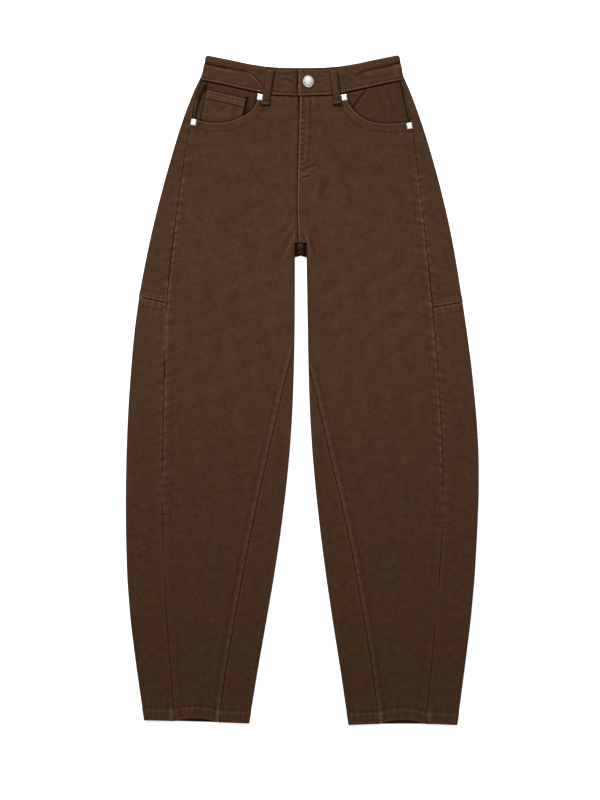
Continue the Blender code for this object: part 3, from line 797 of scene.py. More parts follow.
    def round_inner(self, y: float, arc: Array) -> Row:
        """Gives points round the inner fold.

        Args:
            y: The section's height.
            arc: Distances round the fold from its very edge; above 0 is the front.

        Returns:
            The points.
        """
        edge, floor = float(self.inner(y)), float(self.lift(y))
        turn = np.clip(arc, -QUARTER, QUARTER) / RADIUS
        flat = np.maximum(np.abs(arc) - QUARTER, 0)
        u = edge + RADIUS * (1 - np.cos(turn)) + flat
        z = floor + RADIUS * (1 + np.sin(turn))
        z = np.where(arc > QUARTER, self.level(u, y), z)
        return Row(u, z, np.cos(turn), -np.sin(turn))

    def side_line(self, top: float, bottom: float) -> Line:
        """Gives the side seam between two heights, as seen from above."""
        y = np.arange(top, bottom, -2.0)
        return Line(np.stack((self.sign * self.side_seam(y), y), axis=1), smooth=False)

    def inseam_line(self, bottom: float) -> Line:
        """Gives the inseam where it shows on the front."""
        y = np.arange(90.0, bottom, -2.0)
        shown = self.inward(y) > 2.0
        u = (self.inner(y) + self.inward(y))[shown]
        return Line(np.stack((self.sign * u, y[shown]), axis=1), smooth=False)

    def add_hem(self, piece: "ClothPiece", front: bool) -> None:
        """Adds the turned hem's relief to a front or back panel."""
        stitched, above, low = (self.hem_line(HEM_TOP + rise, front) for rise in (0.0, 2.2, -16.2))
        seed = 71 + self.sign + 3 * front
        x, y = piece.grid.place[:, :, 0], piece.grid.place[:, :, 1]
        top = self.height(HEM_TOP + 1.5, x * self.sign, front)
        below = blurred(((y < top) & (piece.grid.inward[:, :, 2] < 0.3)).astype(float), 1)
        # The hem's band stands up and is painted a little lighter
        piece.lift += 0.5 * below
        piece.shade += 0.04 * below
        piece.add(
            ridge(above, -0.1, 1.6, tint=-0.1),
            ridge(stitched, -0.26, 0.9, tint=-0.46),
            ridge(stitched.offset(-self.sign * 2.4), 0.14, 1.2, tint=0.14),
            pucker(stitched, 0.2, 8.0, 8.0, seed, tint=0.16),
            ridge(low, 0.1, 1.2, tint=0.24 if front else 0.06),
        )
        seam, inseam = float(self.side_seam(HEM_TOP)), float(self.inner(HEM_TOP) + self.inward(HEM_TOP))
        # A painted highlight on the bump where a seam runs into the hem
        bump = inseam + 3.6 if front else seam + 3.6
        tops = self.height(np.array([HEM_TOP - 1, HEM_LINE + 2]), np.array([bump, bump - self.sign * 0.5]), front)
        piece.add(ridge(Line(((self.sign * bump, tops[0]), (self.sign * bump, tops[1]))), 0.4, 3.0, tint=0.34))
        # Painted shadow along the front's lower edge, and on the back where it shows below the front
        low_edge = self.hem_line(HEM_LINE, True)
        if front:
            piece.add(ridge(low_edge.part(10, low_edge.length - 10), 0, 1.1, tint=-0.4, taper=10))
            return
        piece.add(ridge(low_edge.part(34, low_edge.length - 34), 0, 3.6, tint=-0.95, taper=16))
        piece.add(ridge(low_edge.part(10, low_edge.length - 10), 0, 4.0, tint=-0.6, taper=16), under=True)

    def hem_line(self, row: float, front: bool) -> Line:
        """Gives a line along the hem, from the inner fold to the outer one."""
        u = np.linspace(float(self.inner(row)), float(self.outer(row)), 120)
        return Line(np.stack((self.sign * u, self.height(row, u, front)), axis=1), smooth=False)

    def cross_line(self) -> Line:
        """Gives the cross seam over the thigh, from the outer fold to the side seam."""
        turn = float(self.outer(self.cross_seam)) - 0.4
        seam = float(self.side_seam(self.cross_seam - 7))
        u = np.linspace(turn, seam, 50)
        y = self.cross_seam - self.cross_slope * np.maximum(turn - RADIUS - u, 0)
        return Line(np.stack((self.sign * u, y), axis=1), smooth=False)


def stretch(length: float, ends: Sequence[float], counts: Sequence[int]) -> Array:
    """Spaces points along a section, closer at its ends.

    Args:
        length: The section's length.
        ends: How much of it each end takes.
        counts: How many strips the first end, the middle and the last end have.

    Returns:
        The distances from the section's start.
    """
    first, last = (min(end, length * 0.3) for end in ends)
    places = [0.0, first, length - last, length]
    parts = [np.linspace(places[i], places[i + 1], counts[i] + 1)[:-1] for i in range(3)]
    return np.concatenate((*parts, [length]))


def row_places(places: Sequence[tuple]) -> Array:
    """Spaces the rows of a panel.

    Args:
        places: (height, step) pairs from the top; each step holds down to the next height.

    Returns:
        The rows' heights, their number less one a multiple of THIN.
    """
    rows = [places[0][0]]
    for (top, step), (bottom, _) in zip(places, places[1:]):
        count = max(1, round((top - bottom) / step))
        rows += np.linspace(top, bottom, count + 1)[1:].tolist()
    short = (1 - len(rows)) % THIN
    for i in range(short):
        rows.insert(2 + 2 * i, (rows[1 + 2 * i] + rows[2 + 2 * i]) / 2)
    return np.array(rows)


# Stretches along the side seams, as (start, end, rise, width, tint) rows; the tint paints highlight and shade along
# them
SIDE_STRETCHES = {
    "right": (
        (176, 120, 0.3, 3.2, 0.1),
        (126, 34, 0.4, 1.5, 0.6),
        (62, 6, -0.3, 2.6, -0.3),
        (250, 150, -0.3, 1.8, -0.25),
        (-120, -190, 0.5, 1.1, 0.3),
        (-250, -300, 0.4, 1.1, 0.2),
    ),
    "left": (
        (330, 230, 0.3, 1.2, 0.16),
        (190, 120, -0.3, 1.8, -0.25),
        (40, -30, 0.4, 1.1, 0.16),
        (-150, -230, 0.5, 1.1, 0.3),
        (-300, -380, 0.4, 1.1, 0.22),
    ),
}
# Folds over the fronts, as (points, rise, width, tint, taper) rows; the tint paints shade and highlight along them
FRONT_FOLDS = {
    "right": (
        (((-9.5, 246), (-13, 236), (-19, 222), (-25, 206), (-28, 192)), 0.4, 1.7, 0.1, 12),
        (((-14, 246), (-20, 236), (-29, 220), (-36, 202)), -0.4, 3.0, -0.1, 20),
        (((-11.5, 240), (-12, 234), (-12, 229)), 0.3, 1.5, 0.2, 4),
        (((-8, 262), (-20, 246), (-36, 228)), 0.3, 3.0, 0.06, 18),
        (((-60, 300), (-95, 270), (-140, 250)), -0.5, 10.0, -0.07, 40),
        (((-40, 330), (-90, 322), (-150, 330)), -0.4, 9.0, -0.06, 40),
        (((-20, 380), (-60, 366), (-110, 372)), 0.4, 10.0, 0.05, 40),
    ),
    "left": (
        (((4.5, 243), (8, 232), (11, 218), (13, 202)), 0.4, 1.6, 0.06, 10),
        (((9, 246), (13, 232), (18, 216), (21, 200)), -0.35, 3.0, -0.08, 16),
        (((7.2, 240), (7.6, 234), (7.4, 229)), 0.3, 1.5, 0.2, 4),
        (((48, 336), (32, 310), (20, 286)), -0.4, 7.0, -0.08, 24),
        (((30, 322), (20, 302), (14, 282)), 0.3, 3.4, 0.06, 16),
        (((60, 300), (100, 276), (150, 262)), -0.5, 10.0, -0.07, 40),
        (((40, 352), (90, 338), (150, 345)), -0.4, 9.0, -0.06, 40),
    ),
}


@dataclass
class FrontPanel:
    """A front panel, cut out round the pocket mouth and wrapped over the inner fold.

    Attributes:
        leg: The side that it is on.
        band: The width of the felled seams' topstitched band.
    """

    leg: LegForm
    band: float = 7.4
    strips: tuple = (20, 65, 20)
    mouth_rows: int = 33
    mouth_column: float = 50.0

    def _row(self, y: float) -> Row:
        """Gives the section at a height, from the centre or inseam to the side seam."""
        leg = self.leg
        side = float(leg.side_seam(leg.fold_height(y))) - SEAM_GAP / 2
        level, round_fold = None, None
        if y > CROTCH_ENDS:
            lap = FLY_UNDERLAP * float(ease(FLY_BOTTOM - 2, FLY_BOTTOM + 8, y)) if leg.sign < 0 else 0
            start = float(leg.centre(y)) + SEAM_GAP / 2 - lap
            u = start + stretch(side - start, (20, 20), self.strips)
            level = Row(u, leg.level(u, y), np.zeros(u.shape), -np.ones(u.shape))
        if y < CROTCH_BEGINS:
            first = leg.inseam_arc(y) + SEAM_GAP / 2
            length = QUARTER + side - float(leg.inner(y)) - RADIUS - first
            round_fold = leg.round_inner(y, first + stretch(length, (20, 20), self.strips))
        if level is None:
            return round_fold
        if round_fold is None:
            return level
        return level.toward(round_fold, float(ease(CROTCH_BEGINS, CROTCH_ENDS, y)))

    def _top(self, row: Row) -> tuple:
        """Finds where each column of the panel ends at the top.

        Args:
            row: The section below the pocket mouth.

        Returns:
            The columns' distances out and their heights.
        """
        leg = self.leg
        share = np.clip((row.u - self.mouth_column) / (row.u[-1] - self.mouth_column), 0, 1)
        lap = FLY_UNDERLAP if leg.sign < 0 else 0
        start = float(leg.centre(BAND_ROW)) + SEAM_GAP / 2 - lap
        corner = abs(leg.mouth.points[0, 0])
        along_band = start + (corner - start) * (row.u - row.u[0]) / (self.mouth_column - row.u[0])
        mouth_u, mouth_y = (
            np.interp(share * leg.mouth.length, leg.mouth.along, leg.mouth.points[:, i]) for i in (0, 1)
        )
        u = np.where(row.u < self.mouth_column, along_band, leg.sign * mouth_u)
        seam = leg.outlines.seam(leg.sign * u) - SEAM_GAP / 2
        return u, np.where(row.u < self.mouth_column, seam, mouth_y)

    def make(self) -> ClothPiece:
        """Builds the panel's grid and its relief."""
        leg = self.leg
        below = row_places(
            ((MOUTH_ROW, ROW_STEP), (CROTCH_BEGINS + 1, 0.5), (CROTCH_ENDS - 1, ROW_STEP), (90, 1.2), (-484, FINE_STEP), (HEM_LINE, 1))
        )
        rows = [self._row(y) for y in below]
        heights = [leg.height(y, row.u, True) for y, row in zip(below, rows)]
        top_u, top_y = self._top(rows[0])
        for share in np.linspace(0, 1, self.mouth_rows + 1)[1:]:
            u, y = mix(rows[len(rows) - len(below)].u, top_u, 0), None
            u = mix(self._row(MOUTH_ROW).u, top_u, share)
            y = mix(MOUTH_ROW, top_y, share)
            z = np.array([leg.level(a, b) for a, b in zip(u, y)])
            rows.insert(0, Row(u, z, np.zeros(u.shape), -np.ones(u.shape)))
            heights.insert(0, y)
        piece = ClothPiece(f"panel_front_{leg.name}", f"front_{leg.name}", Grid.of_rows(rows, np.array(heights), leg.sign), WALL)
        self._seams(piece)
        self._pocket_mouth(piece)
        self._centre(piece)
        piece.swell(150, 0.5, 11 + leg.sign)
        piece.swell(46, 0.16, 21 + leg.sign)
        return piece

    def _seams(self, piece: ClothPiece) -> None:
        """Adds the side seam, the inseam and the hem."""
        leg = self.leg
        sign, seed = leg.sign, 31 + leg.sign
        side = leg.side_line(410, -513)
        strong = 0.36 if sign > 0 else 0.26
        inseam = leg.inseam_line(-513)
        for start, end, rise, width, tint in SIDE_STRETCHES[leg.name]:
            piece.add(ridge(side.part(410 - start, 410 - end), rise, width, tint, taper=14))
        piece.add(
            *sunk(side, 0.9, 1.5, -0.1),
            ridge(side.part(0, 640).offset(-sign * 2.8), 0.26, 1.9, tint=0.08, taper=160),
            pucker(side.part(0, 660), strong, 8.5, 13, seed, tint=0.7 * strong, lean=0.35, taper=90),
            pucker(side, 0.08, 6.0, 12, seed + 1, tint=0.06, lean=0.35),
            pucker(side.part(0, 700), 0.14, 6.0, 5.2, seed + 2, tint=0.15, taper=60),
            ridge(side.offset(-sign * 12.5), -0.14, 1.6, tint=-0.05),
            *sunk(inseam, 0.9, 1.4, -0.2),
            band(inseam, 0.42, self.band, tint=0.05),
            ridge(inseam.offset(sign * 3.0), 0.12, 1.4, tint=0.05),
            pucker(inseam.offset(sign * 3.0), 0.2, 1.3, 3.6, seed + 4, tint=0.36, even=0.8),
            pucker(inseam.offset(sign * 7.2), 0.2, 1.2, 3.6, seed + 6, tint=0.5, even=0.8),
            pucker(inseam, 0.24, 7.0, 16, seed + 5, tint=0.12),
            ridge(inseam.offset(sign * 10.4), -0.1, 1.6, tint=-0.1),
        )
        for distance, tint in ((1.9, -0.1), (6.6, -0.16)):
            piece.add(ridge(inseam.offset(sign * distance), -0.2, 0.9, tint=tint))
        leg.add_hem(piece, True)

    def _pocket_mouth(self, piece: ClothPiece) -> None:
        """Adds the turned and topstitched pocket mouth."""
        mouth, side = self.leg.mouth, -self.leg.sign
        piece.add(
            edge(mouth, -0.8, 1.1, tint=-0.1),
            ridge(mouth.offset(side * 1.7), 0.24, 1.1, tint=0.3),
            band(mouth, 0.36, 12.8),
            ridge(mouth.offset(side * 13.6), -0.1, 1.4, tint=-0.12),
            pucker(mouth, 0.18, 7.0, 7, 41 + self.leg.sign, tint=0.1),
        )
        for distance, tint in ((3.4, -0.3), (11.6, -0.34)):
            piece.add(ridge(mouth.offset(side * distance), -0.22, 0.85, tint=tint))

    def _centre(self, piece: ClothPiece) -> None:
        """Adds the fly, the felled centre front seam, and the painted shadow of the waistband and loop."""
        leg = self.leg
        sign = leg.sign
        y = np.arange(BAND_ROW + 2, CROTCH_BEGINS - 2, -2.0)
        centre = Line(np.stack((sign * leg.centre(y), y), axis=1), smooth=False)
        band_x = np.linspace(sign * float(leg.centre(BAND_ROW)), leg.mouth.points[0, 0], 60)
        seam = Line(np.stack((band_x, leg.outlines.seam(band_x)), axis=1), smooth=False)
        foot = -56.4 if sign < 0 else 55.1
        piece.add(
            edge(seam, -1.2, 3.4, tint=-1.0),
            ridge(seam, 0, 6.0, tint=-0.12),
            pucker(seam, 0.22, 9.0, 9, 43 + sign, tint=0.12),
            ridge(Line(((foot - 6, 436.9), (foot + 6.5, 436.9))), -0.2, 1.7, tint=-1.0),
            ridge(Line(((foot + 6.2, 450), (foot + 6.0, 437))), -0.1, 1.1, tint=-0.9),
            ridge(Line(((foot - 6.2, 450), (foot - 6.2, 437))), -0.1, 1.2, tint=-0.5),
        )
        for points, rise, width, tint, taper in FRONT_FOLDS[leg.name]:
            piece.add(ridge(Line(points), rise, width, tint, taper))
        if sign < 0:
            # Painted shadow on the right front beside the left front's edge, which laps over it
            low = centre.part(centre.length - 102, centre.length)
            piece.add(
                ridge(centre, -0.3, 3.0, tint=-0.18, taper=12),
                ridge(centre.part(0, 9), 0, 2.0, tint=-0.7),
                ridge(centre.part(0, 34), 0, 2.6, tint=-0.3, taper=10),
                edge(centre, -0.6, 1.5, tint=-0.9),
                ridge(low.offset(-3.4), -0.16, 1.0, tint=-0.1),
            )
            return
        fly = Fly.read(leg)
        piece.add(
            edge(centre, -0.9, 1.2, tint=-0.4),
            ridge(centre.offset(2.1), 0.3, 0.95, tint=0.46),
            ridge(fly.edge, -0.1, 1.2, tint=-0.06),
            pucker(fly.edge, 0.34, 2.6, 7.6, 51, tint=0.34, even=0.6),
            ridge(fly.curve, -0.26, 2.0, tint=-0.2, taper=6),
            ridge(fly.curve.offset(-4.0), 0.2, 2.6, tint=0.1, taper=8),
            pucker(fly.curve, 0.2, 5.0, 12, 52, tint=0.14),
            ridge(fly.tack, -0.5, 1.1, tint=-0.6, taper=3),
            ridge(fly.tack.offset(-3.4), 0.4, 2.2, tint=0.2, taper=4),
            ridge(fly.tack.offset(3.4), 0.2, 2.2, tint=0.1, taper=4),
            ridge(fly.hook, -0.4, 1.8, tint=-0.3, taper=6),
            ridge(fly.hook.offset(3.6), 0.25, 2.4, tint=0.14, taper=6),
            band(fly.seam, 0.3, 12.0),
            pucker(fly.seam.offset(6.0), 0.16, 2.2, 3.9, 53, tint=0.36, even=0.6),
            ridge(Line(((27.4, 399), (27.8, 391))), 0.3, 1.0, tint=0.22),
        )
        for distance, tint in ((3.7, -0.3), (9.4, -0.24)):
            piece.add(ridge(fly.seam.offset(distance), -0.2, 0.9, tint=tint))


@dataclass(frozen=True)
class Fly:
    """The lines of the fly's sewing on the left front.

    Attributes:
        edge: The stitching beside the free edge.
        curve: The outer stitching.
        hook: Its turn in to the seam.
        tack: The dented bar tack at the bottom.
        seam: The centre front seam below the fly.
    """

    edge: Line
    curve: Line
    hook: Line
    tack: Line
    seam: Line

    @classmethod
    def read(cls, leg: LegForm) -> "Fly":
        """Works the lines out from the centre front seam."""
        y = np.arange(BAND_ROW - 1, FLY_BOTTOM + 6, -2.0)
        edge_line = Line(np.stack((leg.centre(y) + 5.6, y), axis=1), smooth=False)
        curve = Line(((13.4, BAND_ROW - 1), (12.6, 430), (11.8, 400), (11.0, 376), (9.6, 362), (10.4, 350)))
        hook = Line(((22.5, 347.0), (17.5, 344.6), (12.0, 343.2), (7.0, 340.8), (1.5, 337.4)))
        tack = Line(((11.5, 332.6), (8.0, 329.0), (4.0, 327.8), (-2.0, 327.2)))
        low = np.arange(FLY_BOTTOM - 1, CROTCH_BEGINS + 1, -2.0)
        seam = Line(np.stack((leg.centre(low), low), axis=1), smooth=False)
        return cls(edge_line, curve, hook, tack, seam)


@dataclass
class BackPanel:
    """An upper or lower back panel, from the side seam round to the centre or the inseam.

    Attributes:
        leg: The side that it is on.
        part: upper or lower.
    """

    leg: LegForm
    part: str
    top_strips: int = 27
    fold_strips: int = 12
    under_strips: int = 18
    inner_strips: int = 9
    end_strips: int = 24

    def _slope(self, row: float) -> float:
        """How steeply the section falls towards the side seam."""
        return self.leg.cross_slope * (1 - float(ease(0, 130, abs(row - self.leg.cross_seam))))

    def _row(self, row: float) -> tuple:
        """Gives the section at a height, and how far each of its points is lowered."""
        leg = self.leg
        y = leg.fold_height(row)
        edge, floor = float(leg.outer(y)), float(leg.lift(row))
        turn = edge - RADIUS
        sloped = y - self._slope(row) * (turn - float(leg.side_seam(y)))
        seam = float(leg.side_seam(sloped)) + SEAM_GAP / 2
        u = mix(seam, turn, np.linspace(0, 1, self.top_strips + 1) ** 1.35)
        z = floor + mix(leg.level(u, y) - float(leg.lift(y)), FOLD_HEIGHT, ease(turn - 3, turn, u))
        angle = np.radians(np.linspace(90, -90, self.fold_strips + 1)[1:])
        top = Row(u, z, np.zeros(u.shape), -np.ones(u.shape))
        fold = Row(
            edge - RADIUS * (1 - np.cos(angle)),
            floor + RADIUS * (1 + np.sin(angle)),
            -np.cos(angle),
            -np.sin(angle),
        )
        lowered = np.zeros(self.top_strips + 1 + self.fold_strips + self.under_strips + self.inner_strips + self.end_strips)
        lowered[: self.top_strips + 1] = self._slope(row) * np.maximum(turn - u, 0)
        parts = []
        if row > BACK_CROTCH_ENDS:
            end = leg.sign * CENTRE_BACK
            inner = leg.sign * CENTRE_BACK + CENTRE_BACK_STRIP
            under = np.linspace(turn, inner, self.under_strips + 1)[1:]
            last = np.linspace(inner, end, self.inner_strips + self.end_strips + 1)[1:]
            under = np.concatenate((under, last))
            parts.append(Row(under, np.full(under.shape, floor), np.zeros(under.shape), np.ones(under.shape)))
        if row < BACK_CROTCH_BEGINS:
            reach = leg.inseam_arc(row) - SEAM_GAP / 2 + QUARTER
            around = min(2 * QUARTER, 0.7 * reach)
            last = np.linspace(0, 1, self.end_strips + 1)[1:]
            arcs = np.concatenate(
                (
                    np.linspace(0, around, self.inner_strips + 1)[1:],
                    mix(around, reach, 1 - (1 - last) ** 1.35),
                )
            )
            begin = float(leg.inner(row)) + RADIUS
            under = np.linspace(turn, begin, self.under_strips + 1)[1:]
            flat = Row(under, np.full(under.shape, floor), np.zeros(under.shape), np.ones(under.shape))
            turned = leg.round_inner(row, arcs - QUARTER)
            parts.append(Row(*(np.concatenate(pair) for pair in zip(flat, turned))))
        rest = parts[0]
        if len(parts) == 2:
            rest = parts[0].toward(parts[1], float(ease(BACK_CROTCH_BEGINS, BACK_CROTCH_ENDS, row)))
        return Row(*(np.concatenate(pair) for pair in zip(top, fold, rest))), lowered

    def make(self) -> ClothPiece:
        """Builds the panel's grid and its relief."""
        leg = self.leg
        cross = leg.cross_seam
        if self.part == "upper":
            steps = ((BAND_ROW, ROW_STEP), (BACK_CROTCH_BEGINS + 1, 0.5), (BACK_CROTCH_ENDS - 1, ROW_STEP), (cross + 16, 1.0), (cross, 1))
        else:
            steps = ((cross, 1.0), (cross - 12, ROW_STEP), (-484, FINE_STEP), (HEM_LINE, 1))
        places = row_places(steps)
        rows, heights = [], []
        for y in places:
            row, lowered = self._row(y)
            rows.append(row)
            heights.append(leg.height(y, row.u, False) - lowered)
        heights = np.array(heights)
        heights[0] -= SEAM_GAP / 2
        if self.part == "upper":
            heights[-1] += SEAM_GAP / 2
        node = f"back_{self.part}_{leg.name}"
        piece = ClothPiece(f"panel_{node}", node, Grid.of_rows(rows, heights, leg.sign), WALL)
        self._seams(piece)
        piece.swell(150, 0.4, 11 + leg.sign)
        return piece

    def _seams(self, piece: ClothPiece) -> None:
        """Adds the side seam, cross seam, inseam and hem."""
        leg = self.leg
        sign, seed = leg.sign, 63 + leg.sign
        side = leg.side_line(478, -513)
        cross = leg.cross_line()
        strong = 0.3 if sign > 0 else 0.2
        piece.add(
            *sunk(side, 0.9, 1.2, -0.22),
            pucker(side.part(0, 740), strong, 8.0, 13, 31 + sign, tint=0.16, lean=-0.35, taper=90),
            pucker(side, 0.14, 3.5, 6, seed, tint=0.1),
        )
        for start, end, rise, width, tint in SIDE_STRETCHES[leg.name]:
            piece.add(ridge(side.part(478 - start, 478 - end), 0.5 * rise, width, 0.8 * tint, taper=14))
        if self.part == "upper":
            piece.add(
                edge(cross, -0.9, 1.2, tint=-0.3),
                band(cross, 0.42, 11.0, tint=0.05),
                ridge(cross.offset(-sign * 12.4), -0.2, 1.2, tint=-0.14),
                ridge(cross.offset(-sign * 2.6), 0.16, 1.2, tint=0.12),
                pucker(cross.offset(-sign * 9.4), 0.16, 1.8, 3.8, seed + 2, tint=0.26, even=0.6),
                pucker(cross, 0.24, 6.0, 9, seed + 3, tint=0.1),
            )
            for distance, tint in ((4.6, -0.14), (9.4, -0.34)):
                piece.add(ridge(cross.offset(-sign * distance), -0.2, 0.8, tint=tint))
            self._crotch(piece)
            return
        inseam = leg.inseam_line(-513)
        piece.add(
            edge(cross, -1.0, 2.3, tint=-0.45),
            pucker(cross, 0.22, 8.0, 8, seed + 4, tint=0.12),
            ridge(cross.offset(sign * 3.6), 0.1, 1.2, tint=0.16),
            ridge(cross.offset(sign * 9.0), 0.16, 2.0, tint=0.06, taper=10),
            ridge(cross.offset(sign * 12.0), -0.16, 1.6, tint=-0.12, taper=6),
            *sunk(inseam, 1.0, 1.6, -0.42),
            pucker(inseam, 0.14, 5.0, 6, seed + 6, tint=0.1, lean=0.4),
        )
        leg.add_hem(piece, False)

    def _crotch(self, piece: ClothPiece) -> None:
        """Paints shade on the inside that shows through the crotch, most of all at its sides and bottom, with a lighter
        band across it.
        """
        x, y = piece.grid.place[:, :, 0], piece.grid.place[:, :, 1]
        within = ease(234, 226, y) * ease(16, 10, np.abs(x + 2.3))
        sides = ease(2.8, 5.6, np.abs(x + 2.3))
        light = 0.4 * np.exp(-(((y - 212.4) / 1.5) ** 2))
        dark = 0.9 * ease(224, 216, y) - light + sides + ease(209.5, 206.5, y)
        piece.shade -= within * np.clip(dark, 0, 1)


# Painted shadow beside the coin pocket's edges on the right facing, as ((start, end), width, tint) rows
COIN_SHADE = (
    (((-84.8, 447.5), (-93.6, 404)), 1.8, -0.95),
    (((-146, 462.4), (-86, 448.4)), 1.2, -0.4),
    (((-147.6, 461), (-158.2, 402)), 1.2, -0.4),
)


@dataclass
class PocketFacing:
    """The cloth that shows inside a pocket mouth.

    Attributes:
        leg: The side that it is on.
        folds: Its folds, as (points, rise, width, tint) rows; the tint paints shade and highlight along them.
    """

    leg: LegForm
    folds: Sequence[tuple]
    columns: int = 96
    rows: int = 60

    def _level(self, u: Array, y: Array) -> Array:
        """The height of the facing's outside."""
        inward = self.leg.side_seam(y) - u
        return self.leg.lift(y) + mix(FACING_SEAM_LEVEL, FACING_LEVEL, ease(0, FACING_EASE, inward))

    def make(self) -> ClothPiece:
        """Builds the facing's grid and its relief."""
        leg = self.leg
        across, share = np.meshgrid(np.linspace(0, 1, self.columns + 1), np.linspace(0, 1, self.rows + 1))
        u = mix(FACING_INNER, float(leg.side_seam(MOUTH_ROW)), across)
        y = mix(MOUTH_ROW, leg.outlines.seam(leg.sign * u) - SEAM_GAP / 2, share)
        u = mix(FACING_INNER, leg.side_seam(y) - SEAM_GAP / 2, across)
        y = mix(MOUTH_ROW, leg.outlines.seam(leg.sign * u) - SEAM_GAP / 2, share)
        grid = Grid.level(leg.sign * u, y, self._level(u, y))
        name = f"pocket_facing_{leg.name}"
        piece = ClothPiece(f"cloth_{name}", name, grid, FACING_WALL)
        side = leg.side_line(478, MOUTH_ROW)
        seam_x = leg.sign * np.linspace(FACING_INNER, float(leg.side_seam(476)), 60)
        seam = Line(np.stack((seam_x, leg.outlines.seam(seam_x)), axis=1), smooth=False)
        # The facing is painted darker as shade under the pocket mouth, with painted shadow along its seams and beside
        # the mouth
        piece.shade -= 0.15 if leg.sign < 0 else 0.11
        piece.add(
            edge(side, -0.6, 1.5, tint=-0.5),
            edge(seam, -0.7, 2.8, tint=-0.8),
            ridge(leg.mouth, 0, 3.0, tint=-0.6),
        )
        if leg.sign < 0:
            for (start, end), width, tint in COIN_SHADE:
                piece.add(ridge(Line(np.linspace(start, end, 40), smooth=False), 0, width, tint=tint))
        for points, rise, width, tint in self.folds:
            piece.add(ridge(Line(points), rise, width, tint, taper=5))
        piece.swell(40, 0.2, 81 + leg.sign)
        return piece


@dataclass
class CoinPocket:
    """The small patch pocket on the right facing.

    Attributes:
        facing: The facing that it is sewn to.
        top_outer: Its corners, as seen from above.
    """

    facing: PocketFacing
    top_outer: tuple = (-146.3, 461.0)
    top_inner: tuple = (-86.0, 447.0)
    bottom_inner: tuple = (-95.0, 404.0)
    bottom_outer: tuple = (-157.0, 402.0)
    columns: int = 60
    rows: int = 54
    hem: float = 12.2

    def _line(self, start: tuple, end: tuple, inset: float) -> Line:
        """Gives a straight line between two corners, moved in by inset."""
        return Line(np.linspace(start, end, 60), smooth=False).offset(inset)

    def make(self) -> ClothPiece:
        """Builds the pocket's grid and its relief."""
        across, share = np.meshgrid(np.linspace(0, 1, self.columns + 1), np.linspace(0, 1, self.rows + 1))
        x, y = (
            mix(
                mix(self.bottom_outer[i], self.bottom_inner[i], across),
                mix(self.top_outer[i], self.top_inner[i], across),
                share,
            )
            for i in (0, 1)
        )
        z = self.facing._level(-x, y) + SEAM_GAP + COIN_WALL
        piece = ClothPiece("cloth_coin_pocket", "coin_pocket", Grid.level(x, y, z), COIN_WALL)
        top = self._line(self.top_outer, self.top_inner, 0)
        inner = self._line(self.top_inner, self.bottom_inner, 0)
        outer = self._line(self.top_outer, self.bottom_outer, 0)
        # Painted shadow along the pocket's inner edge and beside the pocket mouth, and painted highlight and shade on
        # its hem and soft folds
        piece.add(
            edge(top, -0.5, 1.2, tint=-0.1),
            ridge(top.offset(-1.6), 0.1, 1.0, tint=0.22),
            edge(inner, -0.5, 1.6, tint=-0.75),
            ridge(inner.offset(-3.0), 0.16, 1.3, tint=0.16),
            edge(outer, -0.4, 1.2, tint=-0.2),
            ridge(outer.offset(1.8), 0.1, 1.2, tint=0.14),
            band(top, 0.4, self.hem, tint=0.06),
            ridge(top.offset(-self.hem / 2 - 0.6), 0.12, 2.6, tint=0.1, taper=8),
            ridge(top.offset(-self.hem - 0.9), -0.3, 1.1, tint=-0.45),
            ridge(top.offset(-3.6), -0.2, 0.8, tint=-0.24),
            pucker(top, 0.16, 9.0, 7, 91, tint=0.14),
            pucker(inner, 0.2, 6.0, 5, 92, tint=0.24),
            pucker(outer, 0.2, 6.0, 5, 94, tint=0.24),
            ridge(self.facing.leg.mouth, 0, 3.0, tint=-0.6),
            ridge(Line(((-140, 441), (-128, 434), (-112, 436))), -0.3, 3.0, tint=-0.12, taper=8),
            ridge(Line(((-137, 428), (-122, 422), (-106, 424))), 0.3, 3.0, tint=0.1, taper=8),
        )
        piece.swell(30, 0.16, 93)
        return piece

    def sewing(self) -> list:
        """Gives the lines of its sewing."""
        top = self._line(self.top_outer, self.top_inner, -self.hem + 0.8)
        inner = self._line(self.top_inner, self.bottom_inner, -2.0)
        inner_two = self._line(self.top_inner, self.bottom_inner, -6.4)
        outer = self._line(self.top_outer, self.bottom_outer, 2.0)
        return [top.part(3, top.length - 2), inner.part(2, 36), inner_two.part(4, 36), outer.part(2, 44)]


FRONT_LOOPS = (((-48.2, 492.2), (-56.4, 437.4)), ((47.9, 491.3), (55.1, 438.9)))


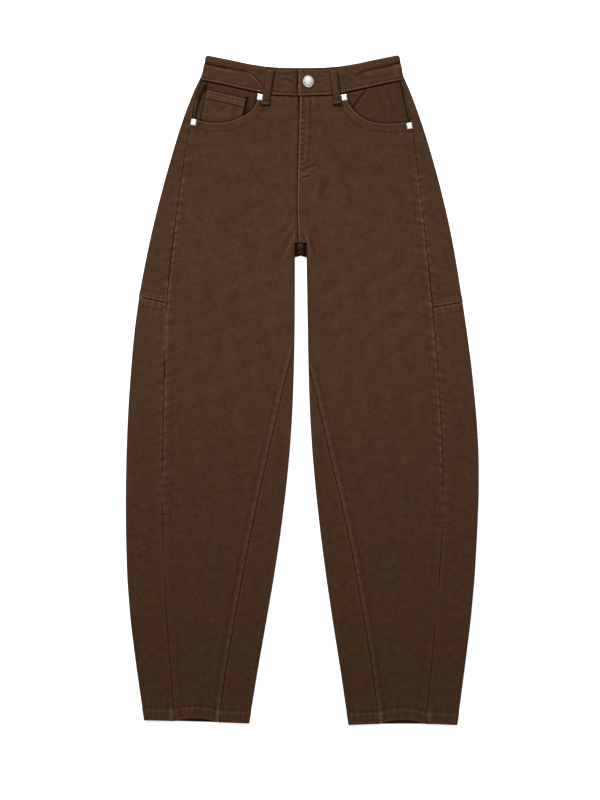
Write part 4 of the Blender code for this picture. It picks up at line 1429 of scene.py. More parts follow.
@dataclass
class Waistband:
    """The shaped strip round the waist, its left end lapped over its right one.

    Attributes:
        outlines: Its edges.
        creases: Its creases, as (points, rise, width, tint, taper) rows; the tint paints shade and highlight along
            them.
    """

    outlines: Outlines
    creases: Sequence[tuple] = (
        (((-175, 508), (-150, 501.4), (-133, 497.6), (-115, 494.3), (-100, 491.1), (-84, 488), (-72, 481)), -0.6, 1.4, -0.45, 24),
        (((-175, 509), (-150, 503), (-133, 499.4), (-115, 496.2), (-96, 493.4), (-72, 490)), -0.4, 3.0, -0.18, 26),
        (((-170, 501), (-148, 497), (-131, 493), (-113, 489.6), (-92, 486)), 0.35, 2.8, 0.12, 20),
        (((-82, 487), (-73.5, 479), (-66.8, 471), (-62.5, 463)), 0.5, 0.9, 0.3, 6),
        (((-79, 487), (-71, 479.8), (-64.6, 472), (-61, 465)), -0.35, 1.6, -0.3, 6),
        (((-66, 494), (-60, 482)), -0.3, 5.0, -0.25, 4),
        (((-120, 478), (-100, 474), (-84, 473)), -0.2, 3.0, -0.06, 10),
        (((172, 509), (151, 503), (129, 497.3), (107, 492.8), (94, 489.6), (84, 484), (74, 477)), -0.6, 2.4, -0.28, 22),
        (((172, 508.6), (151, 502.6), (129, 496.9), (107, 492.4), (88, 488)), -0.3, 1.1, -0.24, 22),
        (((172, 502), (152, 497), (129, 491.6), (106, 486.6), (84, 480)), 0.4, 3.2, 0.12, 22),
        (((143.6, 503), (144.6, 478)), 0.3, 5.0, 0.1, 6),
        (((60, 486), (66, 482), (74, 481)), -0.3, 1.8, -0.16, 6),
        (((66, 474), (92, 478), (120, 482), (146, 486)), -0.2, 2.0, -0.08, 14),
        (((-38, 478), (-30, 481.6), (-20, 480.8), (-13, 476)), 0.3, 1.4, 0.16, 6),
        (((-36, 474), (-27, 477), (-18, 475.6), (-12, 471)), -0.25, 1.5, -0.16, 6),
        (((-34, 468), (-24, 470.6), (-14, 467)), 0.25, 1.6, 0.12, 6),
        (((-45, 487), (-30, 486), (-14, 485)), -0.2, 2.4, -0.1, 8),
        (((22, 484), (33, 481), (44, 482)), -0.2, 2.0, -0.12, 6),
        (((17.4, 471.2), (22, 471.4), (27, 473.2), (32.3, 476.4)), -0.4, 0.9, -0.6, 2),
        (((20, 468.8), (25, 469.6), (31, 473.4)), 0.2, 1.0, 0.14, 2),
    )
    front_strips: tuple = (120, 108)
    fold_strips: int = 9
    back_strips: int = 39
    rows: int = 42

    def _ends(self, share: float) -> tuple:
        """Reads where the band's two side folds lie, a share of the way up."""
        band = SolidOutline("waistband")
        heights = np.array([482.0, 508.0])
        low, high = band.reach(1, heights)
        at = mix(476.3, 514.6, share)
        slope = (at - heights[0]) / (heights[1] - heights[0])
        return float(mix(low[0], low[1], slope)), float(mix(high[0], high[1], slope))

    def _level(self, x: Array, left: bool) -> Array:
        """The height of the band's front: the left end lies over the right one."""
        if left:
            near = 1 - ease(BAND_UNDERLAP_END, BAND_UNDERLAP_END + BAND_LAP_EASE, x)
            return BAND_TOP_LEVEL + BAND_RISE * near
        return BAND_TOP_LEVEL - BAND_DIP * ease(BAND_OVERLAP_END - BAND_LAP_EASE, BAND_OVERLAP_END, x)

    def _row(self, share: float) -> tuple:
        """Gives the ring of the band at a height, and which of its points are on the front."""
        radius = (BAND_TOP_LEVEL - LOOP_LIFT) / 2
        left_edge, right_edge = self._ends(share)
        right = np.linspace(BAND_UNDERLAP_END, left_edge + radius, self.front_strips[0] + 1)
        under = np.linspace(left_edge + radius, right_edge - radius, self.back_strips + 1)[1:]
        left = np.linspace(right_edge - radius, BAND_OVERLAP_END, self.front_strips[1] + 1)[1:]
        angle = np.radians(np.linspace(90, -90, self.fold_strips + 1)[1:])
        flat, down = np.zeros, np.ones
        parts = (
            Row(right, self._level(right, False), flat(right.shape), -down(right.shape)),
            Row(
                left_edge + radius * (1 - np.cos(angle)),
                LOOP_LIFT + radius * (1 + np.sin(angle)),
                np.cos(angle),
                -np.sin(angle),
            ),
            Row(under, np.full(under.shape, LOOP_LIFT), flat(under.shape), down(under.shape)),
            Row(
                right_edge - radius * (1 - np.cos(angle)),
                LOOP_LIFT + radius * (1 - np.sin(angle)),
                -np.cos(angle),
                np.sin(angle),
            ),
            Row(left, self._level(left, True), flat(left.shape), -down(left.shape)),
        )
        return Row(*(np.concatenate(columns) for columns in zip(*parts)))

    def make(self) -> ClothPiece:
        """Builds the band's grid and its relief."""
        lines = self.outlines
        rows, heights = [], []
        for share in np.linspace(0, 1, self.rows + 1):
            row = self._row(share)
            rows.append(row)
            front = ease(-0.6, 0.6, -row.in_z)
            top = mix(
                np.interp(row.u, lines.across, lines.band_back),
                np.interp(row.u, lines.across, lines.band_front),
                front,
            )
            heights.append(mix(np.interp(row.u, lines.across, lines.band_seam), top, share))
        piece = ClothPiece("cloth_waistband", "waistband", Grid.of_rows(rows, np.array(heights), 1), BAND_WALL)
        seam, top = self.edge_lines()
        end = Line(((BAND_OVERLAP_END, 450), (BAND_OVERLAP_END, 496)))
        over = piece.grid.place[:, :, 0] > BAND_OVERLAP_END - 1
        # The band's seams, with painted shade along its lower and upper edges
        piece.add(
            edge(seam, -0.9, 1.6, tint=-0.9),
            ridge(seam.offset(2.2), 0.2, 0.9, tint=0.32),
            ridge(seam.offset(4.6), -0.24, 1.0, tint=-0.5),
            pucker(seam.offset(4.0), 0.24, 2.4, 4.2, 101, tint=0.5, even=0.7),
            edge(top, -0.9, 1.7, tint=-0.6),
            ridge(top.offset(-2.6), 0.1, 1.0, tint=0.14),
            ridge(top.offset(-4.0), -0.22, 0.9, tint=-0.24),
            pucker(top, 0.16, 5.0, 6, 102, tint=0.14),
        )
        for points, rise, width, tint, taper in self.creases:
            piece.add(ridge(Line(points), rise, width, tint, taper))
        # Painted shadow beside each front belt loop, darkest on its right side
        for loop_top, loop_bottom in FRONT_LOOPS:
            for shift, width, tint in ((LOOP_WIDTH / 2 + 0.9, 1.2, -1.0), (-LOOP_WIDTH / 2 - 0.6, 0.9, -0.5)):
                ends = ((loop_top[0] + shift, loop_top[1] - 3), (loop_bottom[0] + shift, loop_bottom[1]))
                piece.add(ridge(Line(np.linspace(*ends, 30), smooth=False), -0.15, width, tint=tint))
        # The overlapping end: a painted highlight along its edge, and painted shadow on the band beside it
        for line, form, width, rise, tint, part in (
            (end, Form.EDGE, 0.9, -0.4, 0, over),
            (end.offset(-0.5), Form.RIDGE, 0.9, 0.3, 1.0, over),
            (end.offset(1.9), Form.RIDGE, 1.6, -0.3, -0.6, ~over),
            (end.offset(1.9), Form.RIDGE, 6.0, 0, -0.24, ~over),
        ):
            shares = Relief(line, form, 1.0, width).shares(*(piece.grid.place[part][:, i] for i in (0, 1)))
            piece.lift[part] += rise * shares
            piece.shade[part] += tint * shares
        x, y = piece.grid.place[:, :, 0], piece.grid.place[:, :, 1]
        up = ease(0.5, 1.0, -piece.grid.inward[:, :, 2])
        piece.lift += (0.2 * drift(x * 0.35, y, 14, 103) + 0.08 * drift(x * 0.3, y, 6, 104)) * up
        return piece

    def edge_lines(self) -> tuple:
        """Gives the band's lower and upper edges on the front."""
        lines = self.outlines
        x = lines.across[8:-8]
        kept = [np.interp(x, lines.across, edge) for edge in (lines.band_seam, lines.band_front)]
        seam = Line(np.stack((x, kept[0]), axis=1), smooth=False)
        inside = np.abs(x) < 147
        top = Line(np.stack((x[inside], kept[1][inside]), axis=1), smooth=False)
        return seam, top


@dataclass
class BeltLoop:
    """A belt loop on the front, sewn down at both ends.

    Attributes:
        name: right or left.
        top: Where its upper end lies.
        bottom: Where its lower end lies.
    """

    name: str
    top: tuple
    bottom: tuple
    columns: int = 15
    rows: int = 60

    def _place(self, across: Array, along: Array) -> tuple:
        """Finds points of the loop from above: across from -1 to 1, along from bottom to top."""
        (x1, y1), (x0, y0) = self.top, self.bottom
        length = math.hypot(x1 - x0, y1 - y0)
        side = ((y1 - y0) / length, -(x1 - x0) / length)
        half = LOOP_WIDTH / 2
        return (
            mix(x0, x1, along) + across * half * side[0],
            mix(y0, y1, along) + across * half * side[1],
        )

    def line(self, across: float, start: float, end: float) -> Line:
        """Gives a line along the loop."""
        x, y = self._place(np.full(40, across), np.linspace(start, end, 40))
        return Line(np.stack((x, y), axis=1), smooth=False)

    def tack(self, along: float) -> Line:
        """Gives the line of a bar tack across the loop."""
        x, y = self._place(np.linspace(-0.8, 0.8, 30), np.full(30, along))
        return Line(np.stack((x, y), axis=1), smooth=False)

    def make(self) -> ClothPiece:
        """Builds the loop's grid and its relief."""
        across, along = np.meshgrid(np.linspace(-1, 1, self.columns + 1), np.linspace(0, 1, self.rows + 1))
        x, y = self._place(across, along)
        z = BAND_TOP_LEVEL + SEAM_GAP + LOOP_WALL + LOOP_ARCH * np.sin(np.pi * along) ** 0.7
        name = f"belt_loop_front_{self.name}"
        piece = ClothPiece(f"cloth_{name}", name, Grid.level(x, y, z), LOOP_WALL)
        # Painted light on the loop: its left side lighter and its right side darker, with painted shade along its rims
        # and bar tacks
        for side, tint in ((-1, 0.1), (1, -0.3)):
            rim = self.line(side, 0, 1)
            piece.add(
                edge(rim, -0.7, 1.3, tint=-0.35),
                pucker(rim, 0.1, 3, 5, 111, tint=0.14),
                ridge(self.line(side * 0.62, 0, 1), 0, 1.2, tint=tint),
                ridge(self.line(side * 0.5, 0.02, 0.98), -0.2, 0.8, tint=-0.16),
            )
        for end in (0.0, 1.0):
            piece.add(edge(self.tack(end), -0.8, 1.8, tint=-0.5))
        piece.add(
            ridge(self.tack(0.05), 0.3, 1.5, tint=0.24),
            ridge(self.tack(0.12), -0.3, 1.4, tint=-0.4),
            ridge(self.tack(0.97), 0.2, 1.2, tint=0.12),
            ridge(self.tack(0.2), 0, 3.0, tint=-0.14),
        )
        return piece


@dataclass
class BackLoop:
    """A belt loop at the back, flat under the waistband, which the garment lies on.

    Attributes:
        name: right, centre or left.
    """

    name: str
    columns: int = 12
    rows: int = 54

    def make(self) -> ClothPiece:
        """Builds the loop's grid, its outside down, and its relief."""
        node = f"belt_loop_back_{self.name}"
        low, high = (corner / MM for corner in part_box(node))
        x, y = np.meshgrid(np.linspace(low.x, high.x, self.columns + 1), np.linspace(low.y, high.y, self.rows + 1))
        place = np.stack((x, y, np.full(x.shape, low.z)), axis=2)
        inward = np.zeros(place.shape)
        inward[:, :, 2] = 1
        piece = ClothPiece(f"cloth_{node}", node, Grid(place, inward), high.z - low.z)
        for side, turned in ((low.x, 1), (high.x, -1)):
            rim, sewn = (Line(((side + turned * inset, low.y), (side + turned * inset, high.y))) for inset in (0, 2.2))
            piece.add(edge(rim, -0.3, 1.2, tint=-0.3), ridge(sewn, -0.15, 0.8, tint=-0.2), under=True)
        return piece


@dataclass(frozen=True)
class Thread:
    """A kind of sewing.

    Attributes:
        pitch: The distance from one stitch to the next.
        length: How much of it shows.
        width: The thread's width.
        rise: How far a stitch stands over the cloth.
    """

    pitch: float = 4.3
    length: float = 2.9
    width: float = 0.7
    rise: float = 0.2


class Sewing:
    """Gathers stitches over cloth pieces and makes one mesh of them."""

    RINGS = ((-0.5, 0.35, -0.9), (-0.42, 0.85, 0.0), (-0.2, 1.0, 0.9), (0.2, 1.0, 0.9), (0.42, 0.85, 0.0), (0.5, 0.35, -0.9))
    SIDES = 6

    def __init__(self, name: str) -> None:
        """Starts with no stitches."""
        self.name = name
        self.points: list = []
        self.faces: list = []

    def run(self, cloth: ClothPiece, line: Line, thread: Thread, jitter: float = 0.12) -> None:
        """Sews along a line.

        Args:
            cloth: What is sewn.
            line: Where.
            thread: The kind of stitch.
            jitter: How uneven the stitches are, in millimetres.
        """
        draw = np.random.default_rng(len(self.points) + 7)
        for at in np.arange(thread.pitch / 2, line.length - thread.pitch / 4, thread.pitch):
            x, y = (float(np.interp(at, line.along, line.points[:, i])) for i in (0, 1))
            tangent = [float(np.interp(at, line.along, line.tangent[:, i])) for i in (0, 1)]
            shift = draw.uniform(-jitter, jitter)
            x, y = x - tangent[1] * shift, y + tangent[0] * shift
            self.stitch(cloth, x, y, tangent, thread, draw.uniform(0.9, 1.1))

    def stitch(self, cloth: ClothPiece, x: float, y: float, tangent: Sequence[float], thread: Thread, size: float = 1) -> None:
        """Adds one stitch, which dips into the cloth at both ends."""
        place, normal = cloth.touch(x, y)
        if place is None:
            return
        along = Vector((tangent[0], tangent[1], 0))
        along = (along - normal * along.dot(normal)).normalized()
        side = normal.cross(along)
        first = len(self.points)
        for step, girth, height in self.RINGS:
            middle = place + along * (step * thread.length * size) + normal * (height * thread.rise)
            for i in range(self.SIDES):
                turn = math.tau * i / self.SIDES
                across, up = math.cos(turn) * girth * thread.width / 2, math.sin(turn) * girth * thread.width / 2.4
                self.points.append((middle + side * across + normal * up) * MM)
        rings = len(self.RINGS)
        for r in range(rings - 1):
            for i in range(self.SIDES):
                a, b = first + r * self.SIDES + i, first + r * self.SIDES + (i + 1) % self.SIDES
                self.faces.append((a, b, b + self.SIDES, a + self.SIDES))
        self.faces.append(tuple(first + i for i in reversed(range(self.SIDES))))
        self.faces.append(tuple(first + (rings - 1) * self.SIDES + i for i in range(self.SIDES)))

    def build(self, finish: "Finish") -> bpy.types.Object:
        """Makes the mesh and its object."""
        mesh = bpy.data.meshes.new(self.name)
        mesh.from_pydata(self.points, [], self.faces)
        shape = bmesh.new()
        shape.from_mesh(mesh)
        bmesh.ops.recalc_face_normals(shape, faces=shape.faces)
        shape.to_mesh(mesh)
        shape.free()
        mesh.shade_smooth()
        made = bpy.data.objects.new(self.name, mesh)
        bpy.context.scene.collection.objects.link(made)
        finish.dress(made)
        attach(made, BODY)
        LOG.info("%s: %d faces", self.name, len(mesh.polygons))
        return made


class NodeTree:
    """A short way to place and join shader nodes."""

    def __init__(self, tree: bpy.types.NodeTree) -> None:
        """Keeps the tree."""
        self.tree = tree

    def node(self, kind: str, settings: Optional[dict] = None, **inputs: object) -> bpy.types.Node:
        """Places a node.

        Args:
            kind: The node's type.
            settings: Its own settings.
            inputs: Values or sockets for its inputs, by name with _ for a space.

        Returns:
            The node.
        """
        made = self.tree.nodes.new(kind)
        for key, value in (settings or {}).items():
            setattr(made, key, value)
        for key, value in inputs.items():
            self.set(made, key.replace("_", " "), value)
        return made

    def set(self, node: bpy.types.Node, name: str, value: object) -> None:
        """Sets or links an input; a name that is a number counts the inputs."""
        wanted = node.inputs[int(name)] if name.isdigit() else node.inputs[name]
        if isinstance(value, bpy.types.NodeSocket):
            self.tree.links.new(value, wanted)
        else:
            wanted.default_value = value

    def maths(self, operation: str, a: object, b: object = 0.0, c: object = 0.0) -> bpy.types.NodeSocket:
        """Does a sum on values."""
        made = self.node("ShaderNodeMath", {"operation": operation})
        for i, value in enumerate((a, b, c)):
            self.set(made, str(i), value)
        return made.outputs[0]

    def blend(self, share: object, a: object, b: object, way: str = "MIX") -> bpy.types.NodeSocket:
        """Mixes two colours."""
        made = self.node("ShaderNodeMix", {"data_type": "RGBA", "blend_type": way})
        for i, value in ((0, share), (6, a), (7, b)):
            if isinstance(value, bpy.types.NodeSocket):
                self.tree.links.new(value, made.inputs[i])
            else:
                made.inputs[i].default_value = value if i == 0 else (*value, 1)
        return made.outputs[2]

    def spread(self, value: object, low: float, high: float) -> bpy.types.NodeSocket:
        """Stretches a value so that low becomes 0 and high becomes 1."""
        made = self.node("ShaderNodeMapRange", {"clamp": True})
        for i, setting in enumerate((value, low, high, 0.0, 1.0)):
            self.set(made, str(i), setting)
        return made.outputs[0]


class EffectGroup:
    """Shader node groups that several finishes share."""

    @staticmethod
    def start(name: str, inputs: Sequence[tuple], outputs: Sequence[str]) -> tuple:
        """Starts a group.

        Args:
            name: The group's name.
            inputs: (name, socket type, value) rows.
            outputs: The names of its outputs, which are values.

        Returns:
            The group, its node helper, its input node and its output node.
        """
        group = bpy.data.node_groups.new(name, "ShaderNodeTree")
        for label, kind, value in inputs:
            socket = group.interface.new_socket(label, in_out="INPUT", socket_type=kind)
            if value is not None:
                socket.default_value = value
        for label in outputs:
            group.interface.new_socket(label, in_out="OUTPUT", socket_type="NodeSocketFloat")
        tree = NodeTree(group)
        return group, tree, tree.node("NodeGroupInput"), tree.node("NodeGroupOutput")

    @classmethod
    def twill(cls) -> bpy.types.NodeTree:
        """Makes the twill weave: slanted ribs, broken into yarns, with uneven slubs."""
        group, tree, given, out = cls.start(
            "twill_weave",
            (("Place", "NodeSocketVector", None), ("Rib", "NodeSocketFloat", 0.9), ("Slub", "NodeSocketFloat", 0.5)),
            ("Height", "Yarn"),
        )
        parts = tree.node("ShaderNodeSeparateXYZ", Vector=given.outputs["Place"])
        wobble = tree.node("ShaderNodeTexNoise", Vector=given.outputs["Place"], Scale=0.35, Detail=2.0)
        x = tree.maths("ADD", parts.outputs[0], tree.maths("MULTIPLY", wobble.outputs[0], given.outputs["Slub"]))
        slant = tree.maths("ADD", tree.maths("MULTIPLY", x, 0.87), tree.maths("MULTIPLY", parts.outputs[1], -0.5))
        turns = tree.maths("MULTIPLY", tree.maths("DIVIDE", slant, given.outputs["Rib"]), math.tau)
        rib = tree.maths("MULTIPLY_ADD", tree.maths("SINE", turns), 0.5, 0.5)
        yarn_turns = tree.maths("MULTIPLY", parts.outputs[1], math.tau / 0.55)
        yarn = tree.maths("MULTIPLY_ADD", tree.maths("SINE", yarn_turns), 0.5, 0.5)
        height = tree.maths("MULTIPLY_ADD", yarn, 0.35, tree.maths("MULTIPLY", rib, 0.65))
        tree.set(out, "Height", height)
        tree.set(out, "Yarn", tree.maths("MULTIPLY", rib, yarn))
        return group

    @classmethod
    def mottle(cls) -> bpy.types.NodeTree:
        """Makes clouds: a broad one for the dye, a middle one for the nap and a fine grain."""
        group, tree, given, out = cls.start(
            "dye_mottle",
            (
                ("Place", "NodeSocketVector", None),
                ("Broad", "NodeSocketFloat", 0.022),
                ("Middle", "NodeSocketFloat", 0.1),
                ("Fine", "NodeSocketFloat", 0.4),
            ),
            ("Cloud", "Nap", "Grain"),
        )
        for label, size, detail in (("Cloud", "Broad", 1.5), ("Nap", "Middle", 3.0), ("Grain", "Fine", 2.0)):
            noise = tree.node("ShaderNodeTexNoise", Vector=given.outputs["Place"], Detail=detail)
            tree.set(noise, "Scale", given.outputs[size])
            tree.set(out, label, tree.spread(noise.outputs[0], 0.3, 0.7))
        return group


@dataclass
class Finish:
    """What a piece is made of: a material and the record's slot for it.

    Attributes:
        name: The material's name.
        slot: The record's material slot; it is not used.
    """

    name: str
    slot: str
    material: Optional[bpy.types.Material] = field(default=None, repr=False)

    def _start(self) -> tuple:
        """Makes the material, and gives its node helper and its shader."""
        self.material = bpy.data.materials.new(self.name)
        self.material.use_nodes = True
        tree = NodeTree(self.material.node_tree)
        return tree, self.material.node_tree.nodes["Principled BSDF"]

    def _make(self) -> None:
        """Makes the material; each finish has its own way."""
        raise NotImplementedError

    def dress(self, piece: bpy.types.Object) -> None:
        """Gives the piece this finish."""
        if self.material is None:
            self._make()
        piece.data.materials.clear()
        piece.data.materials.append(self.material)


@dataclass
class TwillFinish(Finish):
    """Brushed cotton twill, dyed dark brown.

    Attributes:
        red: The dye where it leans to red.
        green: The dye where it leans to green.
        worn: The colour of raised places: painted highlight, and rubbed wear.
        deep: The colour of painted shade, in seams, grooves and shadows.
    """

    red: tuple = (0.0662, 0.0304, 0.0158)
    green: tuple = (0.0630, 0.0325, 0.0158)
    worn: tuple = (0.165, 0.09, 0.053)
    deep: tuple = (0.008, 0.0042, 0.002)

    def _make(self) -> None:
        """Makes the cloth's material."""
        tree, shader = self._start()
        place = tree.node("ShaderNodeAttribute", {"attribute_name": "cloth_place"}).outputs["Vector"]
        painted_shading = tree.node("ShaderNodeAttribute", {"attribute_name": "painted_shading"}).outputs["Fac"]
        twill = tree.node("ShaderNodeGroup", {"node_tree": EFFECTS["twill"]}, Place=place, Rib=0.95, Slub=0.5)
        mottle = tree.node("ShaderNodeGroup", {"node_tree": EFFECTS["mottle"]}, Place=place)
        colour = tree.blend(mottle.outputs["Cloud"], self.red, self.green)
        nap = tree.maths("MULTIPLY_ADD", mottle.outputs["Nap"], 0.26, 0.87)
        grain = tree.maths("MULTIPLY_ADD", mottle.outputs["Grain"], 0.34, 0.83)
        weave = tree.maths("MULTIPLY_ADD", twill.outputs["Yarn"], 0.3, 0.925)
        value = tree.maths("MULTIPLY", tree.maths("MULTIPLY", nap, grain), weave)
        grey = tree.node("ShaderNodeCombineColor", Red=value, Green=value, Blue=value).outputs[0]
        colour = tree.blend(1.0, colour, grey, "MULTIPLY")
        # The painted shading turns the cloth towards the highlight colour above 0 and towards the painted shade colour
        # below 0
        colour = tree.blend(tree.spread(painted_shading, 0.0, 1.0), colour, self.worn)
        colour = tree.blend(tree.spread(painted_shading, 0.0, -1.0), colour, self.deep)
        tree.set(shader, "Base Color", colour)
        tree.set(shader, "Roughness", tree.maths("MULTIPLY_ADD", mottle.outputs["Nap"], 0.1, 0.82))
        height = tree.maths("MULTIPLY_ADD", mottle.outputs["Grain"], 0.5, twill.outputs["Height"])
        bump = tree.node("ShaderNodeBump", Strength=0.5, Distance=0.00016, Height=height)
        tree.set(shader, "Normal", bump.outputs["Normal"])
        shader.inputs["Specular IOR Level"].default_value = 0.02
        shader.inputs["Sheen Weight"].default_value = 0.02
        shader.inputs["Sheen Roughness"].default_value = 0.45
        shader.inputs["Sheen Tint"].default_value = (0.75, 0.62, 0.5, 1)


@dataclass
class ThreadFinish(Finish):
    """Sewing thread, a little lighter than the cloth.

    Attributes:
        colour: The thread's colour.
    """

    colour: tuple = (0.121, 0.063, 0.0345)

    def _make(self) -> None:
        """Makes the thread's material, with its twist."""
        tree, shader = self._start()
        place = tree.node("ShaderNodeTexCoord").outputs["Object"]
        noise = tree.node("ShaderNodeTexNoise", Vector=place, Scale=900.0, Detail=2.0)
        shade = tree.maths("MULTIPLY_ADD", noise.outputs[0], 0.5, 0.75)
        grey = tree.node("ShaderNodeCombineColor", Red=shade, Green=shade, Blue=shade).outputs[0]
        tree.set(shader, "Base Color", tree.blend(1.0, self.colour, grey, "MULTIPLY"))
        tree.set(shader, "Roughness", tree.maths("MULTIPLY_ADD", noise.outputs[0], 0.2, 0.7))
        bump = tree.node("ShaderNodeBump", Strength=0.4, Distance=0.0001, Height=noise.outputs[0])
        tree.set(shader, "Normal", bump.outputs["Normal"])
        shader.inputs["Specular IOR Level"].default_value = 0.03


@dataclass
class MetalFinish(Finish):
    """Silver-coloured metal.

    Attributes:
        colour: The metal's colour.
        roughness: Its roughness where it is smoothest.
        grain: How many specks of grain there are in a metre.
    """

    colour: tuple = (0.54, 0.527, 0.497)
    roughness: float = 0.6
    grain: float = 900.0
    depth: float = 0.00005

    def _make(self) -> None:
        """Makes the metal's material."""
        tree, shader = self._start()
        place = tree.node("ShaderNodeTexCoord").outputs["Object"]
        noise = tree.node("ShaderNodeTexNoise", Vector=place, Scale=self.grain, Detail=4.0)
        smear = tree.node("ShaderNodeTexNoise", Vector=place, Scale=self.grain / 6, Detail=3.0)
        dull = tuple(c * 0.8 for c in self.colour)
        tree.set(shader, "Base Color", tree.blend(tree.spread(smear.outputs[0], 0.4, 0.7), self.colour, dull))
        tree.set(shader, "Roughness", tree.maths("MULTIPLY_ADD", noise.outputs[0], 0.2, self.roughness - 0.06))
        bump = tree.node("ShaderNodeBump", Strength=0.5, Distance=self.depth, Height=noise.outputs[0])
        tree.set(shader, "Normal", bump.outputs["Normal"])
        shader.inputs["Metallic"].default_value = 1.0


EFFECTS = {"twill": EffectGroup.twill(), "mottle": EffectGroup.mottle()}


@dataclass
class Button:
    """The domed tack button that closes the waistband.

    Attributes:
        node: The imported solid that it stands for.
        turns: How many facets go round it.
    """

    node: str = "button"
    turns: int = 72
    oval: float = 0.9
    lean: float = 14.0

    def make(self, finish: Finish) -> bpy.types.Object:
        """Turns the button's profile, with a rolled rim and a shallow dome, inside its solid's box."""
        low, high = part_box(self.node)
        radius, height = (high.x - low.x) / 2 / MM, (high.z - low.z) / MM
        rim = smooth_curve(
            (
                (radius - 1.3, 0.9),
                (radius - 0.35, 1.05),
                (radius, 1.7),
                (radius - 0.35, 2.3),
                (radius - 1.1, 2.42),
                (radius - 1.5, 2.2),
            ),
            0.22,
        )
        dome = [(r, 2.2 + (height - 2.2) * (1 - (r / (radius - 1.5)) ** 3)) for r in np.linspace(radius - 2, 0, 12)]
        profile = [(0, 0), (4.2, 0), (4.2, 0.9), *rim.tolist(), *dome]
        mesh = bpy.data.meshes.new("tack_button")
        shape = bmesh.new()
        points = [shape.verts.new((r * MM, 0, z * MM)) for r, z in profile]
        edges = [shape.edges.new(pair) for pair in zip(points, points[1:])]
        bmesh.ops.spin(
            shape, geom=points + edges, axis=(0, 0, 1), cent=(0, 0, 0), angle=math.tau, steps=self.turns, use_merge=True
        )
        bmesh.ops.remove_doubles(shape, verts=shape.verts, dist=1e-6)
        bmesh.ops.recalc_face_normals(shape, faces=shape.faces)
        shape.to_mesh(mesh)
        shape.free()
        mesh.shade_smooth()
        mesh.set_sharp_from_angle(angle=math.radians(40))
        turn = Matrix.Rotation(math.radians(self.lean), 4, "Z")
        mesh.transform(turn @ Matrix.Diagonal((self.oval, 1.0, 1.0, 1.0)))
        mesh.transform(Matrix.Translation(((low.x + high.x) / 2, (low.y + high.y) / 2, low.z)))
        made = bpy.data.objects.new("tack_button", mesh)
        bpy.context.scene.collection.objects.link(made)
        finish.dress(made)
        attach(made, BODY)
        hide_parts(self.node)
        LOG.info("tack_button: %d faces", len(mesh.polygons))
        return made


@dataclass
class Rivet:
    """A small square rivet at the end of a pocket mouth, pressed a little uneven.

    Attributes:
        name: Which pocket and end it is at.
        turn: Its turn in degrees.
    """

    name: str
    turn: float
    width: float = 8.0
    height: float = 9.4
    cells: int = 12
    proud: float = 0.5

    def make(self, finish: Finish) -> bpy.types.Object:
        """Builds the plate in its solid's box, with rounded edges and a faintly hammered face."""
        low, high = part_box(f"rivet_{self.name}")
        depth = (high.z - low.z) / MM
        name = f"plate_{self.name}"
        shape = bmesh.new()
        bmesh.ops.create_grid(shape, x_segments=self.cells, y_segments=self.cells, size=0.5)
        for point in shape.verts:
            x, y = point.co.x * self.width, point.co.y * self.height
            slope = max(0.0, 0.7 - min(self.width / 2 - abs(x), self.height / 2 - abs(y)))
            dent = 0.07 * math.sin(x * 1.3 + self.turn) * math.cos(y * 1.1 + self.turn)
            point.co = Vector((x, y, depth + self.proud - 0.62 * slope * slope + dent)) * MM
        rim = [edge for edge in shape.edges if edge.is_boundary]
        skirt = bmesh.ops.extrude_edge_only(shape, edges=rim)["geom"]
        foot = [part for part in skirt if isinstance(part, bmesh.types.BMVert)]
        for point in foot:
            point.co.z = 0
        bmesh.ops.contextual_create(shape, geom=[e for e in shape.edges if e.is_boundary])
        bmesh.ops.recalc_face_normals(shape, faces=shape.faces)
        mesh = bpy.data.meshes.new(name)
        shape.to_mesh(mesh)
        shape.free()
        mesh.shade_smooth()
        mesh.set_sharp_from_angle(angle=math.radians(50))
        middle = (low + high) / 2
        mesh.transform(
            Matrix.Translation((middle.x, middle.y, low.z)) @ Matrix.Rotation(math.radians(self.turn), 4, "Z")
        )
        made = bpy.data.objects.new(name, mesh)
        bpy.context.scene.collection.objects.link(made)
        finish.dress(made)
        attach(made, BODY)
        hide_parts(f"rivet_{self.name}")
        LOG.info("%s: %d faces", name, len(mesh.polygons))
        return made


